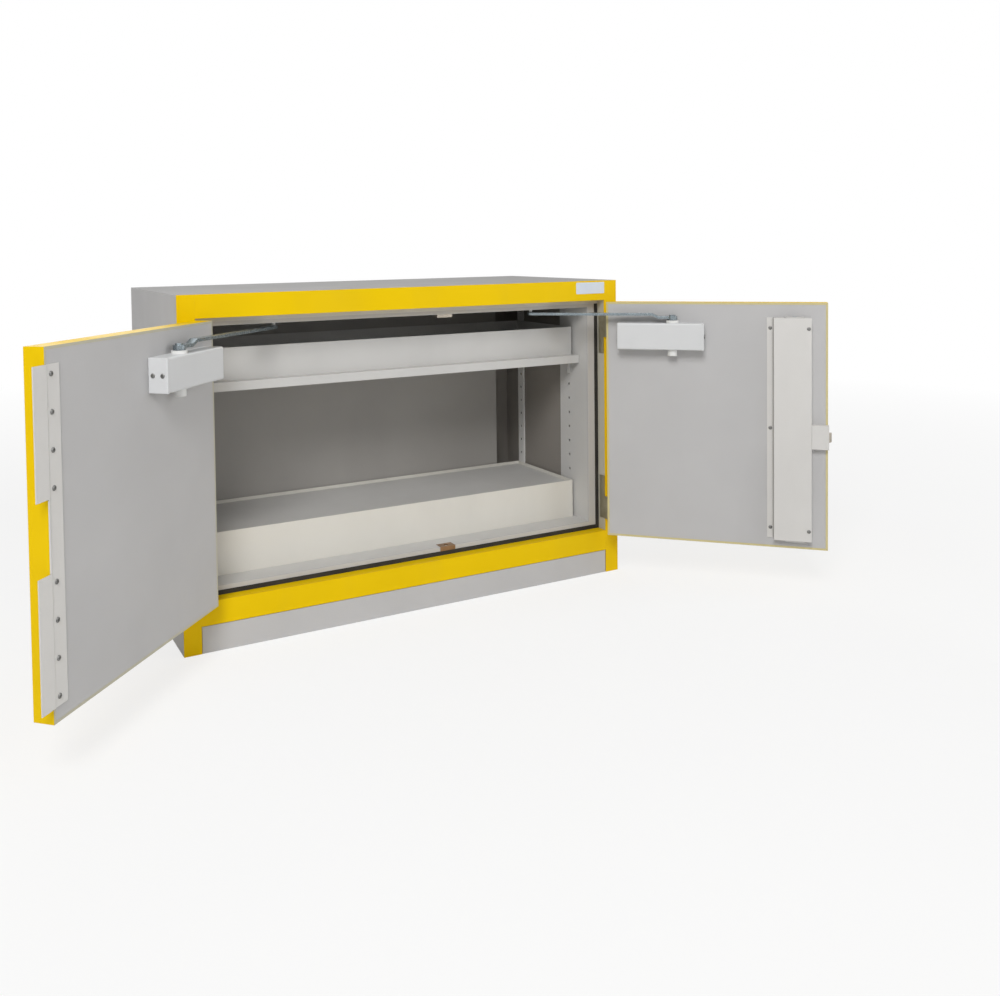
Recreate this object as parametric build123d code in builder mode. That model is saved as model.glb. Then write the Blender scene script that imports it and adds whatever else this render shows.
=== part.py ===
from build123d import *
import os
from math import cos, radians, sin, sqrt

os.makedirs("parts", exist_ok=True)

# Fireproof under-bench cabinet with two insulated doors, all sizes in millimetres.
# The origin is the middle of the footprint, on the floor. X runs along the front, Y to the back, Z up.
# Positions given "in" are measured back from the front face of the yellow frame.

# Carcass, over the outside
width = 893.0
height = 600.0
depth = 400.0
sheet = 1.2
side_wall = 55.0
rear_wall = 55.0
liner = 2.0

# Yellow front frame and plinth
frame_sheet = 1.5
stile_width = 30.0
top_rail_height = 40.0
bottom_rail_height = 40.0
plinth_height = 46.0
plinth_setback = 1.0
plinth_gap = 1.0
rebate_depth = 24.0

# Rebate frame and seals that the doors close on
rebate_plate = 3.0
top_lip = 15.0
bottom_lip = 16.0
seal_width = 8.0
seal_groove = 2.0
seal_proud = 0.8
ceiling_recess = 11.0

# Uprights with shelf pin holes
upright_proud = 3.0
upright_sheet = 1.2
front_upright_width = 95.0
rear_upright_width = 23.0
pin_radius = 3.0
pin_sides = 8
pin_pitch = 30.0
pin_count = 8
first_pin_rise = 98.0
front_pin_in = 90.0
pin_fit = 0.1

# Air duct in front of the rear wall, and the two duct spigots
duct_space = 54.0
duct_side_space = 62.0
duct_slot_count = 16
duct_slot_width = 8.0
duct_slot_height = 50.0
duct_slot_rise = 10.0
spigot_radius = 25.0
spigot_wall = 1.5
spigot_reach = 30.0
spigot_flange = 10.0
spigot_drop = 40.0
spigot_fit = 0.3

# Shelf, shelf tray, sump tray and its platform
shelf_in = 53.0
shelf_drop = 117.0
shelf_thick = 16.0
shelf_side_gap = 1.0
tray_in = 73.0
tray_side_gap = 3.5
tray_back_gap = 4.0
tray_sheet = 1.2
tray_corner = 3.0
sump_height = 77.0
shelf_tray_height = 58.0
platform_drop = 6.0
platform_gap = 1.0
clip_drop = 24.0
clip_width = 12.0
clip_reach = 7.5

# Doors
door_thickness = 31.0
door_side_gap = 2.0
door_end_gap = 2.0
door_meeting_gap = 3.0
door_rebate_gap = 1.0
door_skin = 1.0
door_border = 4.0
door_round = 1.5
left_open = 133.6
right_open = 135.7

# Door hinges
hinge_outboard = 2.5
hinge_forward = 0.4
hinge_height = 46.0
upper_hinge_drop = 73.0
lower_hinge_rise = 23.0
knuckle_radius = 4.0
hinge_pin_radius = 2.0
hinge_pin_sides = 12
hinge_fit = 0.05
leaf_sheet = 1.5
leaf_width = 17.0
knuckle_clearance = 0.5

# Door closers: body, spindle, arm and slide track
closer_start = 25.0
closer_end = 189.0
closer_drop = 39.0
closer_height = 52.0
closer_depth = 32.0
closer_round = 3.0
closer_cap = 4.0
cap_chamfer = 1.0
cap_screw_spread = 16.0
spindle_along = 129.3
spindle_off = 16.0
spindle_radius = 5.0
spindle_fit = 0.05
spindle_head_radius = 6.0
spindle_head = 2.5
spindle_head_sides = 6
bush_radius = 12.0
bush_height = 5.0
pinion_cap_radius = 9.0
pinion_cap_drop = 12.0
hub_radius = 9.5
hub_gap = 0.5
hub_foot = 2.5
arm_length = 277.0
arm_width = 14.0
arm_thick = 5.0
arm_keeper_gap = 1.0
joggle_start = 26.0
joggle_end = 38.0
track_in = 48.0
track_width = 18.0
track_wall = 1.5
track_slot = 7.0
track_lip_gap = 1.0
track_end_gap = 1.0
slider_length = 16.0
slider_fit = 0.3
slider_pin_radius = 3.0
pivot_gap = 1.5

# Astragal on the left door
astragal_hold = 26.0
astragal_reach = 24.0
astragal_sheet = 1.5
astragal_step = 0.8
astragal_bend_in = 3.0
astragal_bend_run = 2.0
astragal_rise = 21.0
astragal_drop = 22.0
notch_below_lock = 28.0
notch_above_lock = 65.0
notch_in = 1.0
astragal_screw_edge = 10.0
astragal_screw_end = 12.0
screw_group = 4
screw_radius = 3.5
screw_sides = 12
screw_head = 1.6

# Lock on the right door
cover_edge = 30.0
cover_width = 67.0
cover_depth = 18.0
cover_sheet = 1.2
cover_rise = 19.0
cover_drop = 28.0
cover_flange = 12.0
cover_screw_inset = 20.0
cover_screw_edge = 5.0
rod_inset = 30.0
rod_off = 9.0
rod_radius = 4.0
rod_chamfer = 0.8
rod_fit = 0.1
rod_tip_space = 2.5
rod_inner_gap = 25.0
guide_width = 33.0
guide_thick = 2.0
lock_below_middle = 18.0
case_height = 45.0
case_depth = 14.0
case_edge = 0.8
case_wall = 2.0
case_gap = 0.5
latch_height = 18.0
latch_thick = 9.0
latch_length = 22.0
latch_reach = 6.0
latch_tip = 2.0
latch_fit = 0.3

# Outside handle of the right door
handle_plate_side = 48.0
handle_plate_corner = 4.0
handle_plate_thick = 4.0
handle_neck_radius = 8.0
handle_neck_length = 34.0
handle_length = 112.0
handle_radius = 9.0
handle_thick = 11.0
handle_chamfer = 3.0
handle_fit = 0.05
cylinder_drop = 62.0
cylinder_radius = 14.0
cylinder_thick = 6.0
keyway_width = 2.2
keyway_length = 10.0
keyway_depth = 3.0

# Keepers for the two rods
keeper_width = 32.0
keeper_reach = 16.0
top_keeper_height = 6.0
keeper_tab = 1.0
bottom_keeper_reach = 20.0
keeper_sheet = 2.0
keeper_fit = 0.5
rod_pocket = 14.0

# Places that follow from the sizes above
half = width / 2
front = -depth / 2
back = depth / 2
opening_half = half - stile_width
opening_bottom = plinth_height + bottom_rail_height
opening_top = height - top_rail_height
inner_half = half - side_wall
floor_z = opening_bottom + bottom_lip
lip_z = opening_top - top_lip
rebate_y = front + rebate_depth
board_y = rebate_y + rebate_plate
liner_half = inner_half + upright_proud
ceiling_z = lip_z + ceiling_recess
back_wall_y = back - rear_wall
duct_y = back_wall_y - duct_space
duct_half = liner_half - duct_side_space
spigot_z = lip_z - spigot_drop
duct_cut_out = 2 * (spigot_radius + spigot_fit)
first_pin_z = floor_z + first_pin_rise
rear_upright_in = duct_y - front - rear_upright_width
rear_pin_in = rear_upright_in + rear_upright_width / 2
shelf_z = lip_z - shelf_drop
tray_y = front + tray_in
tray_back = duct_y - tray_back_gap
tray_half = inner_half - tray_side_gap

door_width = opening_half - door_side_gap - door_meeting_gap / 2
door_bottom = opening_bottom + door_end_gap
door_top = opening_top - door_end_gap
door_face_y = rebate_y - door_rebate_gap
hinge_x = opening_half - door_side_gap + hinge_outboard
hinge_y = door_face_y - door_thickness - hinge_forward
face_from_hinge = door_face_y - hinge_y

closer_top = door_top - closer_drop
closer_z = closer_top - closer_height
hub_z = closer_top + bush_height + hub_gap
arm_hub_z = hub_z + hub_foot
arm_top = lip_z - top_keeper_height - arm_keeper_gap
arm_z = arm_top - arm_thick
track_y = front + track_in
track_bottom = lip_z + track_lip_gap
track_height = ceiling_z - track_bottom

lock_z = (door_bottom + door_top) / 2 - lock_below_middle
cover_end = door_width - cover_edge
cover_start = cover_end - cover_width
cover_bottom = door_bottom + cover_rise
cover_top = door_top - cover_drop
rod_along = cover_end - rod_inset
astragal_bottom = door_bottom + astragal_rise
astragal_top = door_top - astragal_drop
notch_bottom = lock_z - notch_below_lock
notch_top = lock_z + notch_above_lock


def save(piece, name):
    """Names a finished piece and writes it."""
    piece.part.label = name
    export_step(piece.part, f"parts/{name}.step")


def save_group(pieces, name):
    """Writes pieces that touch but stay separate solids as one named group."""
    solids = [solid for piece in pieces for solid in piece.part.solids()]
    group = Compound(label=name, children=solids)
    export_step(group, f"parts/{name}.step")


def side_name(side):
    return "left" if side < 0 else "right"


def open_angle(side):
    return left_open if side < 0 else right_open


def hinge_plane(side):
    """The level plane on a door's hinge axis, turned with the door. Its X runs along the closed frame."""
    turn = radians(side * open_angle(side))
    return Plane(origin=(side * hinge_x, hinge_y, 0), x_dir=(cos(turn), sin(turn), 0), z_dir=(0, 0, 1))


def door_plane(side):
    """The level plane at the hinge edge of a door's inner face: X along the door, Y away from the face."""
    axis = hinge_plane(side)
    corner = axis.from_local_coords((-side * hinge_outboard, face_from_hinge, 0))
    return Plane(origin=corner, x_dir=axis.x_dir, z_dir=(0, 0, 1))


def face_plane(side, off):
    """The upright plane parallel to a door's inner face and off in from it, with Y upward."""
    door = door_plane(side)
    return Plane(origin=door.from_local_coords((0, off, 0)), x_dir=door.x_dir, z_dir=-door.y_dir)


# Carcass sheets


def make_side_panels():
    """The two flat outer side sheets."""
    with BuildPart() as side_panels:
        with BuildSketch():
            with Locations((half - sheet / 2, frame_sheet / 2), (-half + sheet / 2, frame_sheet / 2)):
                Rectangle(sheet, depth - frame_sheet)
        extrude(amount=height)
    save(side_panels, "side_panels")


def make_top_panel():
    with BuildPart() as top_panel:
        with BuildSketch(Plane.XY.offset(height - sheet)):
            with Locations((0, frame_sheet / 2)):
                Rectangle(width - 2 * sheet, depth - frame_sheet)
        extrude(amount=sheet)
    save(top_panel, "top_panel")


def make_back_panel():
    """Rear sheet with the two cut-outs for the duct spigots."""
    with BuildPart() as back_panel:
        with BuildSketch(Plane.XZ.offset(-back)):
            with Locations((0, (height - sheet) / 2)):
                Rectangle(width - 2 * sheet, height - sheet)
            with Locations(*spigot_places()):
                Rectangle(duct_cut_out, duct_cut_out, mode=Mode.SUBTRACT)
        extrude(amount=sheet)
    save(back_panel, "back_panel")


def make_base_pan():
    """Floor pan under the insulation: a flat sheet with its four edges turned up to the plinth height."""
    pan_front = front + plinth_setback + frame_sheet
    pan_depth = back - sheet - pan_front
    with BuildPart() as base_pan:
        with BuildSketch():
            with Locations((0, pan_front + pan_depth / 2)):
                Rectangle(width - 2 * sheet, pan_depth)
        extrude(amount=plinth_height)
        with BuildSketch(Plane.XY.offset(sheet)):
            with Locations((0, pan_front + pan_depth / 2)):
                Rectangle(width - 4 * sheet, pan_depth - 2 * sheet)
        extrude(amount=plinth_height - sheet, mode=Mode.SUBTRACT)
    save(base_pan, "base_pan")


def make_plinth_panel():
    """Grey kick plate between the feet of the two stiles."""
    with BuildPart() as plinth_panel:
        with BuildSketch(Plane.XZ.offset(-front - plinth_setback)):
            with Locations((0, (plinth_height - plinth_gap) / 2)):
                Rectangle(2 * (opening_half - plinth_gap), plinth_height - plinth_gap)
        extrude(amount=-frame_sheet)
    save(plinth_panel, "plinth_panel")


# Yellow front frame


def make_stiles():
    """Uprights of the front frame: a flat front that runs to the floor and a return into the rebate."""
    middle = half - stile_width / 2
    return_x = opening_half + frame_sheet / 2
    with BuildPart() as stiles:
        with BuildSketch():
            with Locations((middle, front + frame_sheet / 2), (-middle, front + frame_sheet / 2)):
                Rectangle(stile_width, frame_sheet)
        extrude(amount=height)
        with BuildSketch(Plane.XY.offset(opening_bottom)):
            with Locations((return_x, front + rebate_depth / 2), (-return_x, front + rebate_depth / 2)):
                Rectangle(frame_sheet, rebate_depth)
        extrude(amount=opening_top - opening_bottom)
    save(stiles, "stiles")


def make_rail(name, bottom, top, return_z):
    """Cross rail of the front frame, an angle with its return on the rebate side."""
    with BuildPart() as rail:
        with BuildSketch(Plane.YZ.offset(-opening_half)):
            with Locations((front + frame_sheet / 2, (bottom + top) / 2)):
                Rectangle(frame_sheet, top - bottom)
            with Locations((front + rebate_depth / 2, return_z)):
                Rectangle(rebate_depth, frame_sheet)
        extrude(amount=2 * opening_half)
    save(rail, name)


def make_rebate_frame():
    """Plate that the doors close on, with a groove for the seals along its outer edge."""
    outer_half = half - sheet
    outer_top = height - sheet
    with BuildPart() as rebate_frame:
        with BuildSketch(Plane.XZ.offset(-rebate_y)):
            with Locations((0, (plinth_height + outer_top) / 2)):
                Rectangle(2 * outer_half, outer_top - plinth_height)
            with Locations((0, (floor_z + lip_z) / 2)):
                Rectangle(2 * inner_half, lip_z - floor_z, mode=Mode.SUBTRACT)
        extrude(amount=-rebate_plate)
        with BuildSketch(Plane.XZ.offset(-rebate_y)):
            with Locations((0, (opening_bottom + opening_top) / 2)):
                Rectangle(2 * opening_half, opening_top - opening_bottom)
                Rectangle(
                    2 * (opening_half - seal_width),
                    opening_top - opening_bottom - 2 * seal_width,
                    mode=Mode.SUBTRACT,
                )
        extrude(amount=-seal_groove, mode=Mode.SUBTRACT)
        with BuildSketch(Plane.XZ.offset(-rebate_y)):
            with Locations((rod_x(), floor_z - keeper_sheet / 2)):
                Rectangle(keeper_width, keeper_sheet)
        extrude(amount=-rebate_plate, mode=Mode.SUBTRACT)
    save(rebate_frame, "rebate_frame")


def make_door_seal():
    """Black swelling seal in the groove, down both sides and along the bottom."""
    with BuildPart() as door_seal:
        with BuildSketch(Plane.XZ.offset(-rebate_y - seal_groove)):
            with Locations((0, (opening_bottom + opening_top - seal_width) / 2)):
                Rectangle(2 * opening_half, opening_top - opening_bottom - seal_width)
            with Locations((0, (opening_bottom + opening_top) / 2)):
                Rectangle(
                    2 * (opening_half - seal_width),
                    opening_top - opening_bottom - 2 * seal_width,
                    mode=Mode.SUBTRACT,
                )
        extrude(amount=seal_groove + seal_proud)
    save(door_seal, "door_seal")


def make_top_seal():
    """Grey seal strip across the top of the rebate."""
    with BuildPart() as top_seal:
        with BuildSketch(Plane.XZ.offset(-rebate_y - seal_groove)):
            with Locations((0, opening_top - seal_width / 2)):
                Rectangle(2 * opening_half, seal_width)
        extrude(amount=seal_groove + seal_proud)
    save(top_seal, "top_seal")


# Insulation boards and inner liners


def spigot_places():
    """Middle of the exhaust spigot, behind the duct, and of the inlet spigot beside it."""
    inlet_x = -(liner_half + duct_half) / 2
    return [(0, spigot_z), (inlet_x, spigot_z)]


def make_insulation():
    """Five boards in the walls, the floor one with the lower rod's pocket, the rear with duct cut-outs."""
    board_half = liner_half + liner
    board_depth = back - sheet - board_y
    middle = (board_y + back - sheet) / 2
    side_middle = (half - sheet + board_half) / 2
    with BuildPart() as insulation:
        with BuildSketch(Plane.XY.offset(floor_z - liner)):
            with Locations((side_middle, middle), (-side_middle, middle)):
                Rectangle(half - sheet - board_half, board_depth)
        extrude(amount=ceiling_z - floor_z + 2 * liner)
    with BuildPart() as ceiling_board:
        with BuildSketch(Plane.XY.offset(ceiling_z + liner)):
            with Locations((0, middle)):
                Rectangle(width - 2 * sheet, board_depth)
        extrude(amount=height - sheet - ceiling_z - liner)
    with BuildPart() as floor_board:
        with BuildSketch(Plane.XY.offset(plinth_height)):
            with Locations((0, middle)):
                Rectangle(width - 2 * sheet, board_depth)
        extrude(amount=floor_z - liner - plinth_height)
        with BuildSketch(Plane.XY.offset(floor_z - liner - rod_pocket)):
            with Locations((rod_x(), rod_y())):
                Circle(rod_radius + keeper_fit)
        extrude(amount=rod_pocket, mode=Mode.SUBTRACT)
    with BuildPart() as rear_board:
        with BuildSketch(Plane.XZ.offset(-back + sheet)):
            with Locations((0, (floor_z + ceiling_z) / 2)):
                Rectangle(2 * board_half, ceiling_z - floor_z + 2 * liner)
            with Locations(*spigot_places()):
                Rectangle(duct_cut_out, duct_cut_out, mode=Mode.SUBTRACT)
        extrude(amount=rear_wall - sheet - liner)
    save_group([insulation, ceiling_board, floor_board, rear_board], "insulation_boards")


def make_side_liners():
    middle = (board_y + back_wall_y) / 2
    with BuildPart() as side_liners:
        with BuildSketch(Plane.XY.offset(floor_z)):
            with Locations((liner_half + liner / 2, middle), (-liner_half - liner / 2, middle)):
                Rectangle(liner, back_wall_y - board_y)
        extrude(amount=ceiling_z - floor_z)
    save(side_liners, "side_liners")


def make_ceiling_liner():
    with BuildPart() as ceiling_liner:
        with BuildSketch(Plane.XY.offset(ceiling_z)):
            with Locations((0, (board_y + back_wall_y) / 2)):
                Rectangle(2 * (liner_half + liner), back_wall_y - board_y)
        extrude(amount=liner)
    save(ceiling_liner, "ceiling_liner")


def make_floor_liner():
    """Inner floor, cut away at the front for the lower keeper."""
    keeper_back = door_face_y + bottom_keeper_reach
    with BuildPart() as floor_liner:
        with BuildSketch(Plane.XY.offset(floor_z - liner)):
            with Locations((0, (board_y + back_wall_y) / 2)):
                Rectangle(2 * (liner_half + liner), back_wall_y - board_y)
            with Locations((rod_x(), (board_y + keeper_back) / 2)):
                Rectangle(keeper_width, keeper_back - board_y, mode=Mode.SUBTRACT)
        extrude(amount=liner)
    save(floor_liner, "floor_liner")


def make_back_liner():
    with BuildPart() as back_liner:
        with BuildSketch(Plane.XZ.offset(-back_wall_y - liner)):
            with Locations((0, (floor_z + ceiling_z) / 2)):
                Rectangle(2 * (liner_half + liner), ceiling_z - floor_z + 2 * liner)
            with Locations(*spigot_places()):
                Rectangle(duct_cut_out, duct_cut_out, mode=Mode.SUBTRACT)
        extrude(amount=liner)
    save(back_liner, "back_liner")


# Fittings inside the cabinet


def make_uprights(name, start, span, hole_at):
    """Shallow channels on both side walls, with a column of pin holes. Start is measured from the front."""
    middle = front + start + span / 2
    face_x = inner_half + upright_proud / 2
    hollow_x = inner_half + (upright_proud + upright_sheet) / 2
    with BuildPart() as uprights:
        with BuildSketch(Plane.XY.offset(floor_z)):
            with Locations((face_x, middle), (-face_x, middle)):
                Rectangle(upright_proud, span)
            with Locations((hollow_x, middle), (-hollow_x, middle)):
                Rectangle(upright_proud - upright_sheet, span - 2 * upright_sheet, mode=Mode.SUBTRACT)
        extrude(amount=ceiling_z - floor_z)
        with BuildSketch(Plane.YZ):
            with Locations((front + hole_at, first_pin_z + (pin_count - 1) * pin_pitch / 2)):
                with GridLocations(0, pin_pitch, 1, pin_count):
                    RegularPolygon(pin_radius, pin_sides)
        extrude(amount=half, both=True, mode=Mode.SUBTRACT)
    save(uprights, name)


def make_air_duct():
    """Box duct on the rear wall: a folded panel with a row of intake slots along its foot."""
    duct_depth = back_wall_y - duct_y
    slot_pitch = 2 * duct_half / (duct_slot_count + 1)
    with BuildPart() as air_duct:
        with BuildSketch(Plane.XY.offset(floor_z)):
            with Locations((0, (duct_y + back_wall_y) / 2)):
                Rectangle(2 * duct_half, duct_depth)
            with Locations((0, (duct_y + sheet + back_wall_y) / 2)):
                Rectangle(2 * (duct_half - sheet), duct_depth - sheet, mode=Mode.SUBTRACT)
        extrude(amount=ceiling_z - floor_z)
        with BuildSketch(Plane.XZ.offset(-duct_y)):
            with Locations((0, floor_z + duct_slot_rise + duct_slot_height / 2)):
                with GridLocations(slot_pitch, 0, duct_slot_count, 1):
                    Rectangle(duct_slot_width, duct_slot_height)
        extrude(amount=-sheet, mode=Mode.SUBTRACT)
    save(air_duct, "air_duct")


def make_spigots():
    """Duct collars through the rear wall, each with a square flange on the back sheet."""
    with BuildPart() as spigots:
        with BuildSketch(Plane.XZ.offset(-back_wall_y)):
            with Locations(*spigot_places()):
                Circle(spigot_radius)
        extrude(amount=-rear_wall - spigot_reach)
        with BuildSketch(Plane.XZ.offset(-back)):
            with Locations(*spigot_places()):
                Rectangle(2 * (spigot_radius + spigot_flange), 2 * (spigot_radius + spigot_flange))
        extrude(amount=-spigot_wall)
        with BuildSketch(Plane.XZ.offset(-back_wall_y)):
            with Locations(*spigot_places()):
                Circle(spigot_radius - spigot_wall)
        extrude(amount=-rear_wall - spigot_reach, mode=Mode.SUBTRACT)
    save(spigots, "duct_spigots")


def make_shelf():
    """Pressed shelf: a flat sheet with its four edges turned down."""
    shelf_half = inner_half - shelf_side_gap
    shelf_y = front + shelf_in
    shelf_back = duct_y - tray_back_gap
    middle = (shelf_y + shelf_back) / 2
    with BuildPart() as shelf:
        with BuildSketch(Plane.XY.offset(shelf_z)):
            with Locations((0, middle)):
                Rectangle(2 * shelf_half, shelf_back - shelf_y)
        extrude(amount=shelf_thick)
        with BuildSketch(Plane.XY.offset(shelf_z)):
            with Locations((0, middle)):
                Rectangle(2 * (shelf_half - sheet), shelf_back - shelf_y - 2 * sheet)
        extrude(amount=shelf_thick - sheet, mode=Mode.SUBTRACT)
    save(shelf, "shelf")


def clip_pin_z():
    """Height of the pin holes that carry the shelf: the last ones that the clips still reach."""
    steps = int((shelf_z - clip_drop / 2 - first_pin_z) / pin_pitch)
    return first_pin_z + steps * pin_pitch


def make_shelf_clips():
    """Four clips, each a pad under the shelf's edge with a pin in an upright."""
    pin_z = clip_pin_z()
    with BuildPart() as shelf_clips:
        for side in (-1, 1):
            for hole_in in (front_pin_in, rear_pin_in):
                with BuildSketch(Plane.YZ.offset(side * inner_half)):
                    with Locations((front + hole_in, (pin_z + shelf_z) / 2 - pin_radius)):
                        Rectangle(clip_width, shelf_z - pin_z + 2 * pin_radius)
                extrude(amount=-side * clip_reach)
                with BuildSketch(Plane.YZ.offset(side * inner_half)):
                    with Locations((front + hole_in, pin_z)):
                        RegularPolygon(pin_radius - pin_fit, pin_sides)
                extrude(amount=side * upright_proud)
    save(shelf_clips, "shelf_clips")


def make_tray(name, bottom, tall):
    """Open welded tray with a flat floor and rounded upright corners."""
    span = tray_back - tray_y
    middle = (tray_y + tray_back) / 2
    with BuildPart() as tray:
        with BuildSketch(Plane.XY.offset(bottom)):
            with Locations((0, middle)):
                RectangleRounded(2 * tray_half, span, tray_corner)
        extrude(amount=tall)
        with BuildSketch(Plane.XY.offset(bottom + tray_sheet)):
            with Locations((0, middle)):
                RectangleRounded(
                    2 * (tray_half - tray_sheet), span - 2 * tray_sheet, tray_corner - tray_sheet
                )
        extrude(amount=tall - tray_sheet, mode=Mode.SUBTRACT)
    save(tray, name)


def make_platform():
    """Bottle platform in the sump tray: a sheet with turned-down edges that stand on the tray's floor."""
    outer_half = tray_half - tray_sheet - platform_gap
    span = tray_back - tray_y - 2 * (tray_sheet + platform_gap)
    middle = (tray_y + tray_back) / 2
    tall = sump_height - platform_drop - tray_sheet
    with BuildPart() as platform:
        with BuildSketch(Plane.XY.offset(floor_z + tray_sheet)):
            with Locations((0, middle)):
                RectangleRounded(2 * outer_half, span, tray_corner - tray_sheet)
        extrude(amount=tall)
        with BuildSketch(Plane.XY.offset(floor_z + tray_sheet)):
            with Locations((0, middle)):
                Rectangle(2 * (outer_half - tray_sheet), span - 2 * tray_sheet)
        extrude(amount=tall - tray_sheet, mode=Mode.SUBTRACT)
    save(platform, "bottle_platform")


# Doors


def hinge_bottoms():
    return (door_bottom + lower_hinge_rise, door_top - upper_hinge_drop)


def cut_knuckle_room(side):
    """Cuts the space round each hinge's knuckles and the recess for its leaf, in the part being built."""
    for bottom in hinge_bottoms():
        with BuildSketch(hinge_plane(side).offset(bottom - knuckle_clearance)) as room:
            Circle(knuckle_radius + knuckle_clearance)
        tall = hinge_height + 2 * knuckle_clearance
        extrude(room.sketch, amount=tall, mode=Mode.SUBTRACT)
        with BuildSketch(door_plane(side).offset(bottom)) as recess:
            with Locations((-side * leaf_sheet / 2, -door_thickness + leaf_width / 2)):
                Rectangle(leaf_sheet, leaf_width)
        extrude(recess.sketch, amount=hinge_height, mode=Mode.SUBTRACT)


def make_door_skin(side):
    """Yellow outer pan of a door, with a narrow border turned in round the inner panel."""
    door = door_plane(side)
    inward = -side
    middle = (inward * door_width / 2, -door_thickness / 2)
    tall = door_top - door_bottom
    with BuildPart() as skin:
        with BuildSketch(door.offset(door_bottom)):
            with Locations(middle):
                Rectangle(door_width, door_thickness)
        extrude(amount=tall)
        outer = skin.faces().sort_by(lambda face: door.to_local_coords(face.center()).Y)[0]
        fillet(outer.edges(), door_round)
        with BuildSketch(door.offset(door_bottom + door_skin)):
            with Locations(middle):
                Rectangle(door_width - 2 * door_skin, door_thickness - 2 * door_skin)
        extrude(amount=tall - 2 * door_skin, mode=Mode.SUBTRACT)
        with BuildSketch(face_plane(side, 0)):
            with Locations((inward * door_width / 2, (door_bottom + door_top) / 2)):
                Rectangle(door_width - 2 * door_border, tall - 2 * door_border)
        extrude(amount=door_skin, mode=Mode.SUBTRACT)
        cut_knuckle_room(side)
    save(skin, f"{side_name(side)}_door_skin")


def make_door_core(side):
    """Insulation board that fills a door."""
    inward = -side
    with BuildPart() as core:
        with BuildSketch(door_plane(side).offset(door_bottom + door_skin)):
            with Locations((inward * door_width / 2, -door_thickness / 2)):
                Rectangle(door_width - 2 * door_skin, door_thickness - 2 * door_skin)
        extrude(amount=door_top - door_bottom - 2 * door_skin)
        cut_knuckle_room(side)
    save(core, f"{side_name(side)}_door_core")


def make_door_panel(side):
    """Grey inner face of a door, flush with the border of its skin."""
    inward = -side
    tall = door_top - door_bottom - 2 * door_border
    with BuildPart() as panel:
        with BuildSketch(face_plane(side, 0)):
            with Locations((inward * door_width / 2, (door_bottom + door_top) / 2)):
                Rectangle(door_width - 2 * door_border, tall)
        extrude(amount=door_skin)
    save(panel, f"{side_name(side)}_door_panel")


def door_knuckle_bottom(bottom):
    """Where a hinge's frame knuckle ends and the door knuckle that rests on it starts."""
    return bottom + hinge_height / 2


def make_frame_leaves():
    """Frame halves of the four hinges: a leaf on the stile's return with the lower knuckle."""
    leaf_back = front + leaf_width
    leaf_x = opening_half - leaf_sheet / 2
    leaf_y = (hinge_y + leaf_back) / 2
    axes = [(hinge_x, hinge_y), (-hinge_x, hinge_y)]
    with BuildPart() as leaves:
        for bottom in hinge_bottoms():
            with BuildSketch(Plane.XY.offset(bottom)):
                with Locations((leaf_x, leaf_y), (-leaf_x, leaf_y)):
                    Rectangle(leaf_sheet, leaf_back - hinge_y)
                with Locations(*axes):
                    Circle(knuckle_radius)
                    Circle(hinge_pin_radius + hinge_fit, mode=Mode.SUBTRACT)
            extrude(amount=hinge_height)
            with BuildSketch(Plane.XY.offset(door_knuckle_bottom(bottom))):
                with Locations(*axes):
                    Circle(knuckle_radius + knuckle_clearance)
            extrude(amount=hinge_height / 2, mode=Mode.SUBTRACT)
    save(leaves, "hinge_frame_leaves")


def make_door_leaves(side):
    """Door halves of a door's two hinges: a leaf let into the door's edge with the upper knuckle."""
    door = door_plane(side)
    axis = hinge_plane(side)
    with BuildPart() as leaves:
        for bottom in hinge_bottoms():
            with BuildSketch(door.offset(bottom)):
                with Locations((-side * leaf_sheet / 2, -door_thickness + leaf_width / 2)):
                    Rectangle(leaf_sheet, leaf_width)
            extrude(amount=hinge_height)
            with BuildSketch(axis.offset(bottom)):
                Circle(knuckle_radius + knuckle_clearance)
            extrude(amount=hinge_height / 2, mode=Mode.SUBTRACT)
            with BuildSketch(axis.offset(door_knuckle_bottom(bottom) + knuckle_clearance / 2)):
                Circle(knuckle_radius)
            extrude(amount=(hinge_height - knuckle_clearance) / 2)
            with BuildSketch(axis.offset(bottom)):
                Circle(hinge_pin_radius + hinge_fit)
            extrude(amount=hinge_height, mode=Mode.SUBTRACT)
    save(leaves, f"{side_name(side)}_hinge_door_leaves")


def make_hinge_pins():
    """Pins of the four hinges, as high as both knuckles."""
    axes = [(hinge_x, hinge_y), (-hinge_x, hinge_y)]
    with BuildPart() as pins:
        for bottom in hinge_bottoms():
            with BuildSketch(Plane.XY.offset(bottom)):
                with Locations(*axes):
                    RegularPolygon(hinge_pin_radius, hinge_pin_sides)
            extrude(amount=hinge_height)
    save(pins, "hinge_pins")


# Door closers


def make_closer_body(side):
    """Closer housing on a door's inner face, rounded on its long edges."""
    inward = -side
    length = closer_end - closer_cap - closer_start
    with BuildPart() as body:
        with BuildSketch(face_plane(side, 0)):
            with Locations((inward * (closer_start + length / 2), closer_z + closer_height / 2)):
                Rectangle(length, closer_height)
        extrude(amount=-closer_depth)
        long_edges = body.edges().filter_by(Axis(origin=(0, 0, 0), direction=door_plane(side).x_dir))
        outer = long_edges.sort_by(lambda edge: -door_plane(side).to_local_coords(edge.center()).Y)[:2]
        fillet(outer, closer_round)
    save(body, f"{side_name(side)}_closer_body")


def make_closer_cap(side):
    """End cap of a closer, towards the middle of the cabinet."""
    inward = -side
    with BuildPart() as cap:
        with BuildSketch(face_plane(side, 0)):
            with Locations((inward * (closer_end - closer_cap / 2), closer_z + closer_height / 2)):
                Rectangle(closer_cap, closer_height)
        extrude(amount=-closer_depth)
        along = door_plane(side)
        end = cap.faces().sort_by(lambda face: -along.to_local_coords(face.center()).X * inward)[0]
        chamfer(end.edges(), cap_chamfer)
    save(cap, f"{side_name(side)}_closer_cap")


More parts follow.
